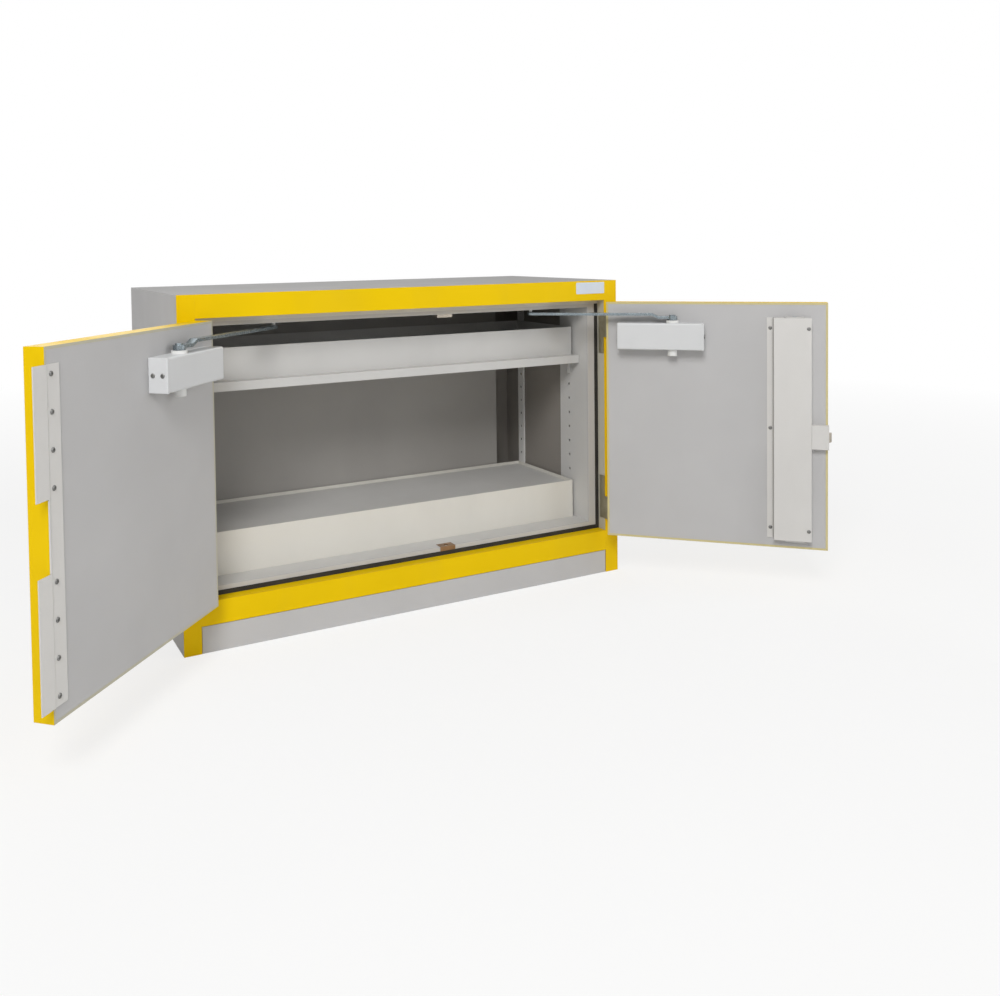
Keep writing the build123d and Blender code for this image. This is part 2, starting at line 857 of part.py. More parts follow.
def closer_end_plane(side):
    """Upright plane on the closer's end cap, with X away from the door."""
    door = door_plane(side)
    inward = -side
    origin = door.from_local_coords((inward * closer_end, 0, closer_z + closer_height / 2))
    return Plane(origin=origin, x_dir=door.y_dir, z_dir=door.x_dir * inward)


def make_closer_bushes(side):
    """White bush round the spindle on top of the closer, and the round cap under it."""
    inward = -side
    with BuildPart() as bushes:
        with BuildSketch(door_plane(side).offset(closer_top)):
            with Locations((inward * spindle_along, spindle_off)):
                Circle(bush_radius)
                Circle(spindle_radius + spindle_fit, mode=Mode.SUBTRACT)
        extrude(amount=bush_height)
        with BuildSketch(door_plane(side).offset(closer_z)):
            with Locations((inward * spindle_along, spindle_off)):
                Circle(pinion_cap_radius)
        extrude(amount=-pinion_cap_drop)
    save(bushes, f"{side_name(side)}_closer_bushes")


def spindle_place(side):
    """World place of a closer's spindle axis with the door as it stands open."""
    return door_plane(side).from_local_coords((-side * spindle_along, spindle_off, 0))


def slider_x(side):
    """Where the arm's free end meets the track with the door as it stands open."""
    spindle = spindle_place(side)
    reach = sqrt(arm_length**2 - (track_y - spindle.Y) ** 2)
    return spindle.X - side * reach


def arm_plane(side):
    """Level plane on the spindle axis with X along the closer arm."""
    spindle = spindle_place(side)
    along = Vector(slider_x(side) - spindle.X, track_y - spindle.Y, 0)
    return Plane(origin=spindle, x_dir=along, z_dir=(0, 0, 1))


def make_closer_arm(side):
    """Flat bar stepped up beside its hub, with the closer's spindle under the hub and an eye at its end."""
    arm = arm_plane(side)
    upright = Plane(origin=arm.origin, x_dir=arm.x_dir, z_dir=-arm.y_dir)
    end = arm_length + arm_width / 2
    with BuildPart() as bar:
        with BuildSketch(upright.offset(-arm_width / 2)):
            with BuildLine():
                Polyline(
                    (-arm_width, arm_hub_z),
                    (joggle_start, arm_hub_z),
                    (joggle_end, arm_z),
                    (end, arm_z),
                    (end, arm_top),
                    (joggle_end, arm_top),
                    (joggle_start, arm_hub_z + arm_thick),
                    (-arm_width, arm_hub_z + arm_thick),
                    close=True,
                )
            make_face()
        extrude(amount=arm_width)
        with BuildSketch(arm.offset(arm_hub_z)):
            with Locations((arm_length / 2, 0)):
                SlotCenterToCenter(arm_length, arm_width)
        extrude(amount=arm_top - arm_hub_z, mode=Mode.INTERSECT)
        with BuildSketch(arm.offset(arm_z)):
            with Locations((arm_length, 0)):
                Circle(slider_pin_radius + slider_fit)
        extrude(amount=arm_thick, mode=Mode.SUBTRACT)
        with BuildSketch(arm.offset(hub_z)):
            Circle(hub_radius)
        extrude(amount=hub_foot + arm_thick)
        with BuildSketch(arm.offset(closer_top + hub_gap)):
            Circle(spindle_radius)
        extrude(amount=bush_height)
        with BuildSketch(arm.offset(arm_hub_z + arm_thick)):
            RegularPolygon(spindle_head_radius, spindle_head_sides)
        extrude(amount=spindle_head)
    save(bar, f"{side_name(side)}_closer_arm")


def make_tracks():
    """Slide tracks over the two arms: channels with their slot downward, behind the top lip."""
    length = inner_half - track_end_gap
    with BuildPart() as tracks:
        for side in (-1, 1):
            with BuildSketch(Plane.YZ.offset(side * track_end_gap)):
                with Locations((track_y, track_bottom + track_height / 2)):
                    Rectangle(track_width, track_height)
                    Rectangle(
                        track_width - 2 * track_wall, track_height - 2 * track_wall, mode=Mode.SUBTRACT
                    )
                with Locations((track_y, track_bottom + track_wall / 2)):
                    Rectangle(track_slot, track_wall, mode=Mode.SUBTRACT)
            extrude(amount=side * length)
    save(tracks, "closer_tracks")


def make_slider(side):
    """Block that runs in the track, with the pin that the arm's eye hangs under."""
    block_bottom = track_bottom + track_wall + slider_fit
    block_top = ceiling_z - track_wall - slider_fit
    with BuildPart() as slider:
        with BuildSketch(Plane.XY.offset(block_bottom)):
            with Locations((slider_x(side), track_y)):
                Rectangle(slider_length, track_width - 2 * track_wall - 2 * slider_fit)
        extrude(amount=block_top - block_bottom)
        with BuildSketch(Plane.XY.offset(arm_top + pivot_gap)):
            with Locations((slider_x(side), track_y)):
                Circle(slider_pin_radius)
        extrude(amount=block_bottom - arm_top - pivot_gap)
    save(slider, f"{side_name(side)}_closer_slider")


# Astragal on the left door


def make_astragal():
    """Cover plate on the left door that laps behind the right one, with a notch for the latch."""
    reach = door_width + astragal_reach
    bend = door_width - astragal_bend_in
    plate = astragal_sheet
    step = astragal_step
    notch_start = door_width + notch_in
    with BuildPart() as astragal:
        with BuildSketch(door_plane(-1).offset(astragal_bottom)):
            with BuildLine():
                Polyline(
                    (door_width - astragal_hold, 0),
                    (bend, 0),
                    (bend + astragal_bend_run, step),
                    (reach, step),
                    (reach, step + plate),
                    (bend + astragal_bend_run, step + plate),
                    (bend, plate),
                    (door_width - astragal_hold, plate),
                    close=True,
                )
            make_face()
        extrude(amount=astragal_top - astragal_bottom)
        with BuildSketch(face_plane(-1, 0)):
            with Locations(((notch_start + reach) / 2, (notch_bottom + notch_top) / 2)):
                Rectangle(reach - notch_start, notch_top - notch_bottom)
        extrude(amount=-2 * (step + plate), mode=Mode.SUBTRACT)
    save(astragal, "astragal_plate")


def astragal_screw_places():
    """Even rows of screws down the astragal, one below its notch and one above."""
    places = []
    for low, high in ((astragal_bottom, notch_bottom), (notch_top, astragal_top)):
        pitch = (high - low - 2 * astragal_screw_end) / (screw_group - 1)
        for step in range(screw_group):
            places.append((door_width - astragal_screw_edge, low + astragal_screw_end + step * pitch))
    return places


def cap_screw_places():
    """The two screws of a closer's end cap, on its end plane."""
    return [((closer_depth - cap_screw_spread) / 2, 0), ((closer_depth + cap_screw_spread) / 2, 0)]


def make_left_door_screws():
    """Screws down the astragal and in the closer's end cap."""
    with BuildPart() as screws:
        with BuildSketch(face_plane(-1, astragal_sheet)):
            with Locations(*astragal_screw_places()):
                RegularPolygon(screw_radius, screw_sides)
        extrude(amount=-screw_head)
        with BuildSketch(closer_end_plane(-1)):
            with Locations(*cap_screw_places()):
                RegularPolygon(screw_radius, screw_sides)
        extrude(amount=screw_head)
    save(screws, "left_door_screws")


# Lock on the right door


def rod_x():
    """Where the lock rods stand along the cabinet once the right door is shut."""
    return opening_half - door_side_gap - rod_along


def rod_y():
    return door_face_y + rod_off


def make_lock_cover():
    """Long hollow cover over the rods, with a flange along its hinge side and a rod guide at each end."""
    door = door_plane(1)
    start = cover_start - cover_flange
    wall = cover_sheet
    with BuildPart() as cover:
        with BuildSketch(door.offset(cover_bottom)):
            with BuildLine():
                Polyline(
                    (-start, 0),
                    (-cover_end, 0),
                    (-cover_end, cover_depth),
                    (-cover_start, cover_depth),
                    (-cover_start, wall),
                    (-start, wall),
                    close=True,
                )
            make_face()
        extrude(amount=cover_top - cover_bottom)
        with BuildSketch(door.offset(cover_bottom + wall)):
            with Locations((-(cover_start + cover_end) / 2, (cover_depth - wall) / 2)):
                Rectangle(cover_end - cover_start - 2 * wall, cover_depth - wall)
        extrude(amount=cover_top - cover_bottom - 2 * wall, mode=Mode.SUBTRACT)
        for z, direction in ((cover_top, 1), (cover_bottom, -1)):
            with BuildSketch(door.offset(z)):
                with Locations((-rod_along, cover_depth / 2)):
                    Rectangle(guide_width, cover_depth - 2 * wall)
            extrude(amount=direction * guide_thick)
        with BuildSketch(door.offset(cover_bottom - guide_thick)):
            with Locations((-rod_along, rod_off)):
                Circle(rod_radius + rod_fit)
        extrude(amount=cover_top - cover_bottom + 2 * guide_thick, mode=Mode.SUBTRACT)
    save(cover, "lock_cover")


def make_right_door_screws():
    """Screws down the lock cover's flange, down its free side and in the closer's end cap."""
    flange_u = cover_start - cover_flange / 2
    face_u = cover_end - cover_screw_edge
    top_z = cover_top - cover_screw_inset
    bottom_z = cover_bottom + cover_screw_inset
    with BuildPart() as screws:
        with BuildSketch(face_plane(1, cover_sheet)):
            with Locations((-flange_u, top_z), (-flange_u, (top_z + bottom_z) / 2), (-flange_u, bottom_z)):
                RegularPolygon(screw_radius, screw_sides)
        extrude(amount=-screw_head)
        with BuildSketch(face_plane(1, cover_depth)):
            with Locations((-face_u, top_z), (-face_u, bottom_z)):
                RegularPolygon(screw_radius, screw_sides)
        extrude(amount=-screw_head)
        with BuildSketch(closer_end_plane(1)):
            with Locations(*cap_screw_places()):
                RegularPolygon(screw_radius, screw_sides)
        extrude(amount=screw_head)
    save(screws, "right_door_screws")


def make_rod(name, low, high, outer_end):
    """Round lock rod with a chamfered tip at its outer end, the first or the last of its flat faces."""
    with BuildPart() as rod:
        with BuildSketch(door_plane(1).offset(low)):
            with Locations((-rod_along, rod_off)):
                Circle(rod_radius)
        extrude(amount=high - low)
        chamfer(rod.faces().sort_by(Axis.Z)[outer_end].edges(), rod_chamfer)
    save(rod, name)


def make_lock_case():
    """Latch case at the door's free edge, with a thin face plate wrapped round the edge."""
    start = cover_end + case_gap
    hollow_start = start + case_wall
    outer_edge = door_width + case_edge
    with BuildPart() as case:
        with BuildSketch(door_plane(1).offset(lock_z - case_height / 2)):
            with BuildLine():
                Polyline(
                    (-start, 0),
                    (-door_width, 0),
                    (-door_width, -case_depth),
                    (-outer_edge, -case_depth),
                    (-outer_edge, case_depth),
                    (-start, case_depth),
                    close=True,
                )
            make_face()
        extrude(amount=case_height)
        with BuildSketch(door_plane(1).offset(lock_z - latch_height / 2 - latch_fit)):
            with Locations((-(hollow_start + outer_edge) / 2, case_depth / 2)):
                Rectangle(outer_edge - hollow_start, latch_thick + 2 * latch_fit)
        extrude(amount=latch_height + 2 * latch_fit, mode=Mode.SUBTRACT)
    save(case, "lock_case")


def make_latch():
    """Sprung latch bolt with a sloping nose."""
    nose = door_width + latch_reach
    tail = nose - latch_length
    near = case_depth / 2 - latch_thick / 2
    far = case_depth / 2 + latch_thick / 2
    with BuildPart() as latch:
        with BuildSketch(door_plane(1).offset(lock_z - latch_height / 2)):
            with BuildLine():
                Polyline(
                    (-tail, near),
                    (-nose, near),
                    (-nose, near + latch_tip),
                    (-door_width - case_edge, far),
                    (-tail, far),
                    close=True,
                )
            make_face()
        extrude(amount=latch_height)
    save(latch, "latch_bolt")


def make_handle_plate():
    """Square plate on the outside of the right door, bored for the handle's neck."""
    with BuildPart() as plate:
        with BuildSketch(face_plane(1, -door_thickness)):
            with Locations((-rod_along, lock_z)):
                Rectangle(handle_plate_side, handle_plate_side)
        extrude(amount=handle_plate_thick)
        across = Axis(origin=(0, 0, 0), direction=door_plane(1).y_dir)
        chamfer(plate.edges().filter_by(across), handle_plate_corner)
        with BuildSketch(face_plane(1, -door_thickness)):
            with Locations((-rod_along, lock_z)):
                Circle(handle_neck_radius + handle_fit)
        extrude(amount=handle_plate_thick, mode=Mode.SUBTRACT)
    save(plate, "handle_plate")


def make_handle():
    """Lever handle: a round neck and a lever that points to the hinges."""
    out = -door_thickness
    with BuildPart() as handle:
        with BuildSketch(face_plane(1, out)):
            with Locations((-rod_along, lock_z)):
                Circle(handle_neck_radius)
        extrude(amount=handle_neck_length)
        with BuildSketch(face_plane(1, out - handle_neck_length)):
            with Locations((-rod_along + handle_length / 2, lock_z)):
                SlotCenterToCenter(handle_length, 2 * handle_radius)
        extrude(amount=handle_thick)
        outer = handle.faces().sort_by(lambda face: door_plane(1).to_local_coords(face.center()).Y)[0]
        chamfer(outer.edges(), handle_chamfer)
    save(handle, "door_handle")


def make_lock_cylinder():
    """Round lock cylinder below the handle, with its keyway."""
    with BuildPart() as cylinder:
        with BuildSketch(face_plane(1, -door_thickness)):
            with Locations((-rod_along, lock_z - cylinder_drop)):
                Circle(cylinder_radius)
        extrude(amount=cylinder_thick)
        with BuildSketch(face_plane(1, -door_thickness - cylinder_thick)):
            with Locations((-rod_along, lock_z - cylinder_drop)):
                Rectangle(keyway_width, keyway_length)
        extrude(amount=-keyway_depth, mode=Mode.SUBTRACT)
    save(cylinder, "lock_cylinder")


# Keepers for the rods


def make_top_keeper():
    """Block under the top lip with the hole for the upper rod, and a tab behind the lip."""
    with BuildPart() as keeper:
        with BuildSketch(Plane.XY.offset(lip_z - top_keeper_height)):
            with Locations((rod_x(), rebate_y + keeper_reach / 2)):
                Rectangle(keeper_width, keeper_reach)
            with Locations((rod_x(), rod_y())):
                Circle(rod_radius + keeper_fit, mode=Mode.SUBTRACT)
        extrude(amount=top_keeper_height)
        with BuildSketch(Plane.XY.offset(lip_z)):
            with Locations((rod_x(), board_y + keeper_tab / 2)):
                Rectangle(keeper_width, keeper_tab)
        extrude(amount=ceiling_recess)
    save(keeper, "top_keeper")


def make_bottom_keeper():
    """Angle let into the front of the floor down to the seal, with the hole for the lower rod."""
    leg = bottom_lip - seal_width
    near = rebate_y - seal_proud
    far = door_face_y + bottom_keeper_reach
    with BuildPart() as keeper:
        with BuildSketch(Plane.YZ.offset(rod_x() - keeper_width / 2)):
            with Locations((rebate_y - seal_proud / 2, floor_z - leg / 2)):
                Rectangle(seal_proud, leg)
            with Locations(((near + far) / 2, floor_z - keeper_sheet / 2)):
                Rectangle(far - near, keeper_sheet)
        extrude(amount=keeper_width)
        with BuildSketch(Plane.XY.offset(floor_z - keeper_sheet)):
            with Locations((rod_x(), rod_y())):
                Circle(rod_radius + keeper_fit)
        extrude(amount=keeper_sheet, mode=Mode.SUBTRACT)
    save(keeper, "bottom_keeper")


def make_carcass():
    make_side_panels()
    make_top_panel()
    make_back_panel()
    make_base_pan()
    make_plinth_panel()
    make_stiles()
    make_rail("top_rail", opening_top, height, opening_top + frame_sheet / 2)
    make_rail("bottom_rail", plinth_height, opening_bottom, opening_bottom - frame_sheet / 2)
    make_rebate_frame()
    make_door_seal()
    make_top_seal()
    make_insulation()
    make_side_liners()
    make_ceiling_liner()
    make_floor_liner()
    make_back_liner()


def make_interior():
    front_start = rebate_depth + rebate_plate
    make_uprights("front_uprights", front_start, front_upright_width, front_pin_in)
    make_uprights("rear_uprights", rear_upright_in, rear_upright_width, rear_pin_in)
    make_air_duct()
    make_spigots()
    make_shelf()
    make_shelf_clips()
    make_tray("shelf_tray", shelf_z + shelf_thick, shelf_tray_height)
    make_tray("sump_tray", floor_z, sump_height)
    make_platform()


def make_doors():
    make_frame_leaves()
    make_hinge_pins()
    make_tracks()
    for side in (-1, 1):
        make_door_skin(side)
        make_door_core(side)
        make_door_panel(side)
        make_door_leaves(side)
        make_closer_body(side)
        make_closer_cap(side)
        make_closer_bushes(side)
        make_closer_arm(side)
        make_slider(side)


def make_lock():
    make_lock_cover()
    make_rod("top_lock_rod", lock_z + rod_inner_gap, cover_top + rod_tip_space, -1)
    make_rod("bottom_lock_rod", cover_bottom - rod_tip_space, lock_z - rod_inner_gap, 0)
    make_lock_case()
    make_latch()
    make_handle_plate()
    make_handle()
    make_lock_cylinder()
    make_top_keeper()
    make_bottom_keeper()


make_carcass()
make_interior()
make_doors()
make_astragal()
make_left_door_screws()
make_lock()
make_right_door_screws()
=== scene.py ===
"""Looks of a fireproof safety cabinet with two open doors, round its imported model. Sizes are in metres."""

import logging
from dataclasses import dataclass, field
from enum import Enum
from math import radians

import bmesh
import bpy
from mathutils import Matrix, Vector


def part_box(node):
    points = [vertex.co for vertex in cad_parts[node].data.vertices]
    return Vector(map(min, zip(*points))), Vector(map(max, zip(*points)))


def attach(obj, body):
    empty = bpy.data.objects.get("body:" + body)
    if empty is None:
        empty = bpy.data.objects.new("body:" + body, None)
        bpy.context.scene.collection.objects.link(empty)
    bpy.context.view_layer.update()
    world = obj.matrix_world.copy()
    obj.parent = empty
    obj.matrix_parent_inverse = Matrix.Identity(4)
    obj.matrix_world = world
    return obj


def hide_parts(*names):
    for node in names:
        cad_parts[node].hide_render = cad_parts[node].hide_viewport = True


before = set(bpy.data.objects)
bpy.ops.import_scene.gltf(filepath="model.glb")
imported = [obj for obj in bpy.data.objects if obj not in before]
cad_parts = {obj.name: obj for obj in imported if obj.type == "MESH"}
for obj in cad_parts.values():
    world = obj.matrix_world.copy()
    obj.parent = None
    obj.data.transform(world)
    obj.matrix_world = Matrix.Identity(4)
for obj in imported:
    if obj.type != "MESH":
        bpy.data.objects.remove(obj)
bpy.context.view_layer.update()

log = logging.getLogger("safety_cabinet")

IMAGE_WIDTH = 1000.0
IMAGE_HEIGHT = 996.0
QUARTER_TURN = radians(90)
FULL_TURN = radians(360)

Colour = tuple[float, float, float]
Place = tuple[float, float, float]
Socket = bpy.types.NodeSocket

YELLOW: Colour = (232.0, 194.0, 0.0)
YELLOW_WORN: Colour = (240.0, 206.0, 60.0)
WHITE = (1.0, 1.0, 1.0, 1.0)

FULL_PART = 255.0
STRAIGHT_END = 0.04045
STRAIGHT_SLOPE = 12.92
BEND_LIFT = 0.055
BEND_POWER = 2.4


def linear(colour: Colour) -> tuple[float, float, float, float]:
    """Turns a colour of 0 to 255 as a screen shows it into Blender's linear one.

    Args:
        colour: red, green and blue from 0 to 255.

    Returns:
        Red, green, blue and alpha from 0 to 1.
    """
    parts = []
    for share in (part / FULL_PART for part in colour):
        if share <= STRAIGHT_END:
            parts.append(share / STRAIGHT_SLOPE)
        else:
            parts.append(((share + BEND_LIFT) / (1.0 + BEND_LIFT)) ** BEND_POWER)
    return (*parts, 1.0)


class Surface(Enum):
    """Which way a streak or brush mark runs on a piece."""

    ALONG_X = (6.0, 90.0, 90.0)
    ALONG_Z = (90.0, 90.0, 6.0)
    EVERY_WAY = (40.0, 40.0, 40.0)


class Side(Enum):
    """Which of the two doors a piece belongs to."""

    LEFT = "left"
    RIGHT = "right"


@dataclass(frozen=True)
class Pattern:
    """One kind of cloudy noise, and the range of it that counts."""

    scale: float
    detail: float = 2.0
    low: float = 0.3
    high: float = 0.7
    stretch: Place | None = None


class Recipe:
    """A material's nodes, with a short call for each kind that the finishes share."""

    EDGE_SAMPLES = 6
    CORNER_SAMPLES = 8
    MIX_COLOURS = (6, 7)
    MIX_RESULT = 2

    def __init__(self, name: str) -> None:
        """Starts a material with one surface shader.

        Args:
            name: the material's name.
        """
        self.material = bpy.data.materials.new(name)
        self.material.use_nodes = True
        self.tree = self.material.node_tree
        self.tree.nodes.clear()
        self.shader = self.tree.nodes.new("ShaderNodeBsdfPrincipled")
        output = self.tree.nodes.new("ShaderNodeOutputMaterial")
        self.tree.links.new(self.shader.outputs["BSDF"], output.inputs["Surface"])
        self.place = self.tree.nodes.new("ShaderNodeTexCoord").outputs["Object"]

    def node(self, kind: str, inputs: dict, **settings) -> bpy.types.Node:
        """Adds a node and fills its sockets.

        Args:
            kind: Blender's name of the node type.
            inputs: socket name or number to a value or to another node's output.
            settings: the node's own settings.

        Returns:
            The node.
        """
        node = self.tree.nodes.new(kind)
        for name, value in settings.items():
            setattr(node, name, value)
        for key, value in inputs.items():
            if isinstance(value, Socket):
                self.tree.links.new(value, node.inputs[key])
            else:
                node.inputs[key].default_value = value
        return node

    def stretched(self, scale: Place) -> Socket:
        """The piece's own coordinates, scaled unevenly."""
        return self.node("ShaderNodeMapping", {"Vector": self.place, "Scale": scale}).outputs["Vector"]

    def noise(self, pattern: Pattern) -> Socket:
        """Adds cloudy noise.

        Args:
            pattern: the noise's scale, detail and stretch.

        Returns:
            A value around a half.
        """
        vector = self.place if pattern.stretch is None else self.stretched(pattern.stretch)
        inputs = {"Vector": vector, "Scale": pattern.scale, "Detail": pattern.detail}
        return self.node("ShaderNodeTexNoise", inputs).outputs["Fac"]

    def patches(self, pattern: Pattern, start: float, end: float) -> Socket:
        """Cloudy noise whose range that counts is stretched into start to end."""
        return self.spread(self.noise(pattern), pattern.low, pattern.high, start, end)

    def cells(self, scale: float) -> Socket:
        """Distance to the nearest of many scattered points."""
        return self.node("ShaderNodeTexVoronoi", {"Vector": self.place, "Scale": scale}).outputs["Distance"]

    def spread(self, value: Socket, low: float, high: float, start: float, end: float) -> Socket:
        """Stretches a value's range low to high into start to end."""
        inputs = {"Value": value, "From Min": low, "From Max": high, "To Min": start, "To Max": end}
        return self.node("ShaderNodeMapRange", inputs).outputs["Result"]

    def times(self, one: Socket, other: Socket | float) -> Socket:
        """The product of two values."""
        return self.node("ShaderNodeMath", {0: one, 1: other}, operation="MULTIPLY").outputs["Value"]

    def mixed(self, share: Socket, first: Socket | tuple, second: Socket | tuple) -> Socket:
        """Mixes two colours.

        Args:
            share: 0 gives the first and 1 the second.
            first: a colour or a socket.
            second: a colour or a socket.

        Returns:
            The mixed colour.
        """
        node = self.node("ShaderNodeMix", {0: share}, data_type="RGBA")
        for number, value in zip(self.MIX_COLOURS, (first, second)):
            if isinstance(value, Socket):
                self.tree.links.new(value, node.inputs[number])
            else:
                node.inputs[number].default_value = value
        return node.outputs[self.MIX_RESULT]

    def soft_edges(self, radius: float) -> Socket:
        """The surface's direction with its edges rounded over a radius."""
        return self.node("ShaderNodeBevel", {"Radius": radius}, samples=self.EDGE_SAMPLES).outputs["Normal"]

    def openness(self, reach: float) -> Socket:
        """How open a spot is: 1 on a plain face, and less in the piece's own inner corners."""
        settings = {"samples": self.CORNER_SAMPLES, "only_local": True}
        return self.node("ShaderNodeAmbientOcclusion", {"Distance": reach}, **settings).outputs["AO"]

    def edge_share(self, radius: float) -> Socket:
        """Finds the sharp edges of a piece.

        Args:
            radius: how far an edge reaches.

        Returns:
            A value that rises from 0 to 1 towards the edges.
        """
        straight, bent = 0.98, 0.75
        true = self.node("ShaderNodeNewGeometry", {}).outputs["True Normal"]
        inputs = {0: self.soft_edges(radius), 1: true}
        dot = self.node("ShaderNodeVectorMath", inputs, operation="DOT_PRODUCT").outputs["Value"]
        return self.spread(dot, straight, bent, 0.0, 1.0)

    def bump(self, height: Socket, depth: float, normal: Socket | None = None) -> Socket:
        """Turns a height into a surface direction.

        Args:
            height: the height from 0 to 1.
            depth: how deep that is in metres.
            normal: the direction it starts from.

        Returns:
            The new direction.
        """
        inputs = {"Height": height, "Distance": depth, "Strength": 1.0}
        if normal is not None:
            inputs["Normal"] = normal
        return self.node("ShaderNodeBump", inputs).outputs["Normal"]

    def feed(self, name: str, value: Socket | float | tuple) -> None:
        """Sets or links one socket of the surface shader.

        Args:
            name: the socket's name.
            value: a plain value, or the socket that feeds it.
        """
        if isinstance(value, Socket):
            self.tree.links.new(value, self.shader.inputs[name])
        else:
            self.shader.inputs[name].default_value = value


@dataclass(frozen=True)
class PowderCoat:
    """Baked powder paint on sheet steel: fine orange peel, faint clouding, specks and slight edge wear."""

    name: str
    colour: Colour
    worn_colour: Colour
    roughness: float = 0.42
    clouding: float = 0.035
    shine: float = 0.4
    wear: float = 0.35
    grime: float = 0.05
    # The colour of dirt in the smears, and of the painted shade in the inner corners.
    dirt_and_shade: Colour = (92.0, 90.0, 87.0)
    corner_shade: float = 0.0
    corner_reach: float = 0.005
    corner_shut: float = 0.45
    edge_radius: float = 0.0008
    clouds: Pattern = Pattern(5.0, 3.0)
    smears: Pattern = Pattern(9.0, 5.0, 0.52, 0.75, (1.0, 1.0, 0.25))
    chips: Pattern = Pattern(160.0, 4.0, 0.45, 0.65)
    gloss: Pattern = Pattern(14.0, 4.0)
    smoother: float = 0.06
    rougher: float = 0.07
    speck_scale: float = 260.0
    speck_core: float = 0.02
    speck_rim: float = 0.05
    speck_strength: float = 4.0
    peel: Pattern = Pattern(420.0)
    peel_depth: float = 0.00006
    waves: Pattern = Pattern(7.0, 1.0)
    wave_depth: float = 0.0012

    def tinted(self, recipe: Recipe, colour: Socket) -> Socket:
        """The paint's colour, which a coat of two colours changes by place."""
        return colour

    def worn(self, recipe: Recipe, colour: Socket) -> Socket:
        """Adds smears, chipped edges and painted shade in the inner corners.

        Args:
            recipe: the material that is being built.
            colour: the clean paint's colour.

        Returns:
            The used paint's colour.
        """
        colour = recipe.mixed(recipe.patches(self.smears, 0.0, self.grime), colour, linear(self.dirt_and_shade))
        chips = recipe.patches(self.chips, 0.0, self.wear)
        share = recipe.times(recipe.edge_share(self.edge_radius), chips)
        colour = recipe.mixed(share, colour, linear(self.worn_colour))
        # Painted shade: the piece's own inner corners are darkened towards the dirt colour, where shade
        # falls.
        if self.corner_shade:
            openness = recipe.openness(self.corner_reach)
            dust = recipe.spread(openness, 1.0, self.corner_shut, 0.0, self.corner_shade)
            colour = recipe.mixed(dust, colour, linear(self.dirt_and_shade))
        return colour

    def material(self) -> bpy.types.Material:
        """Builds the paint's material.

        Returns:
            The material.
        """
        recipe = Recipe(self.name)
        base = linear(self.colour)
        pale = tuple(min(1.0, part * (1 + self.clouding)) for part in base[:3]) + (1.0,)
        dim = tuple(part * (1 - self.clouding) for part in base[:3]) + (1.0,)
        colour = recipe.mixed(recipe.patches(self.clouds, 0.0, 1.0), dim, pale)
        cells = recipe.cells(self.speck_scale)
        strength = self.clouding * self.speck_strength
        specks = recipe.spread(cells, self.speck_rim, self.speck_core, 0.0, strength)
        colour = self.tinted(recipe, recipe.mixed(specks, colour, linear(self.worn_colour)))
        recipe.feed("Base Color", self.worn(recipe, colour))
        smooth, rough = self.roughness - self.smoother, self.roughness + self.rougher
        recipe.feed("Roughness", recipe.patches(self.gloss, smooth, rough))
        recipe.feed("Specular IOR Level", self.shine)
        waves = recipe.bump(recipe.noise(self.waves), self.wave_depth, recipe.soft_edges(self.edge_radius))
        recipe.feed("Normal", recipe.bump(recipe.noise(self.peel), self.peel_depth, waves))
        return recipe.material


@dataclass(frozen=True)
class FrontCoat(PowderCoat):
    """Powder paint of the frame's uprights, whose inward returns have only a pale coat."""

    return_colour: Colour = (188.0, 184.0, 170.0)
    return_x: float = 0.4167
    front_y: float = -0.1982
    fade: float = 0.0007

    def tinted(self, recipe: Recipe, colour: Socket) -> Socket:
        """The paint's colour on the front, and the pale coat's on the inward returns.

        Args:
            recipe: the material that is being built.
            colour: the front's colour.

        Returns:
            The colour by place.
        """
        place = recipe.node("ShaderNodeSeparateXYZ", {0: recipe.place}).outputs
        reach = recipe.node("ShaderNodeMath", {0: place["X"]}, operation="ABSOLUTE").outputs["Value"]
        inputs = {0: reach, 1: self.return_x}
        inward = recipe.node("ShaderNodeMath", inputs, operation="LESS_THAN").outputs["Value"]
        behind = recipe.spread(place["Y"], self.front_y - self.fade, self.front_y + self.fade, 0.0, 1.0)
        return recipe.mixed(recipe.times(inward, behind), colour, linear(self.return_colour))


@dataclass(frozen=True)
class SkinCoat(PowderCoat):
    """Powder paint of a door's skin, thin and pale on the cut lips round the inner panel."""

    lip_colour: Colour = (204.0, 194.0, 150.0)
    inward: Place = (0.0, -1.0, 0.0)
    facing: float = 0.97

    def tinted(self, recipe: Recipe, colour: Socket) -> Socket:
        """The paint's colour, and the lips' paler one where the skin faces into the cabinet.

        Args:
            recipe: the material that is being built.
            colour: the skin's colour.

        Returns:
            The colour by direction.
        """
        normal = recipe.node("ShaderNodeTexCoord", {}).outputs["Normal"]
        inputs = {0: normal, 1: self.inward}
        dot = recipe.node("ShaderNodeVectorMath", inputs, operation="DOT_PRODUCT").outputs["Value"]
        inputs = {0: dot, 1: self.facing}
        lip = recipe.node("ShaderNodeMath", inputs, operation="GREATER_THAN").outputs["Value"]
        return recipe.mixed(lip, colour, linear(self.lip_colour))


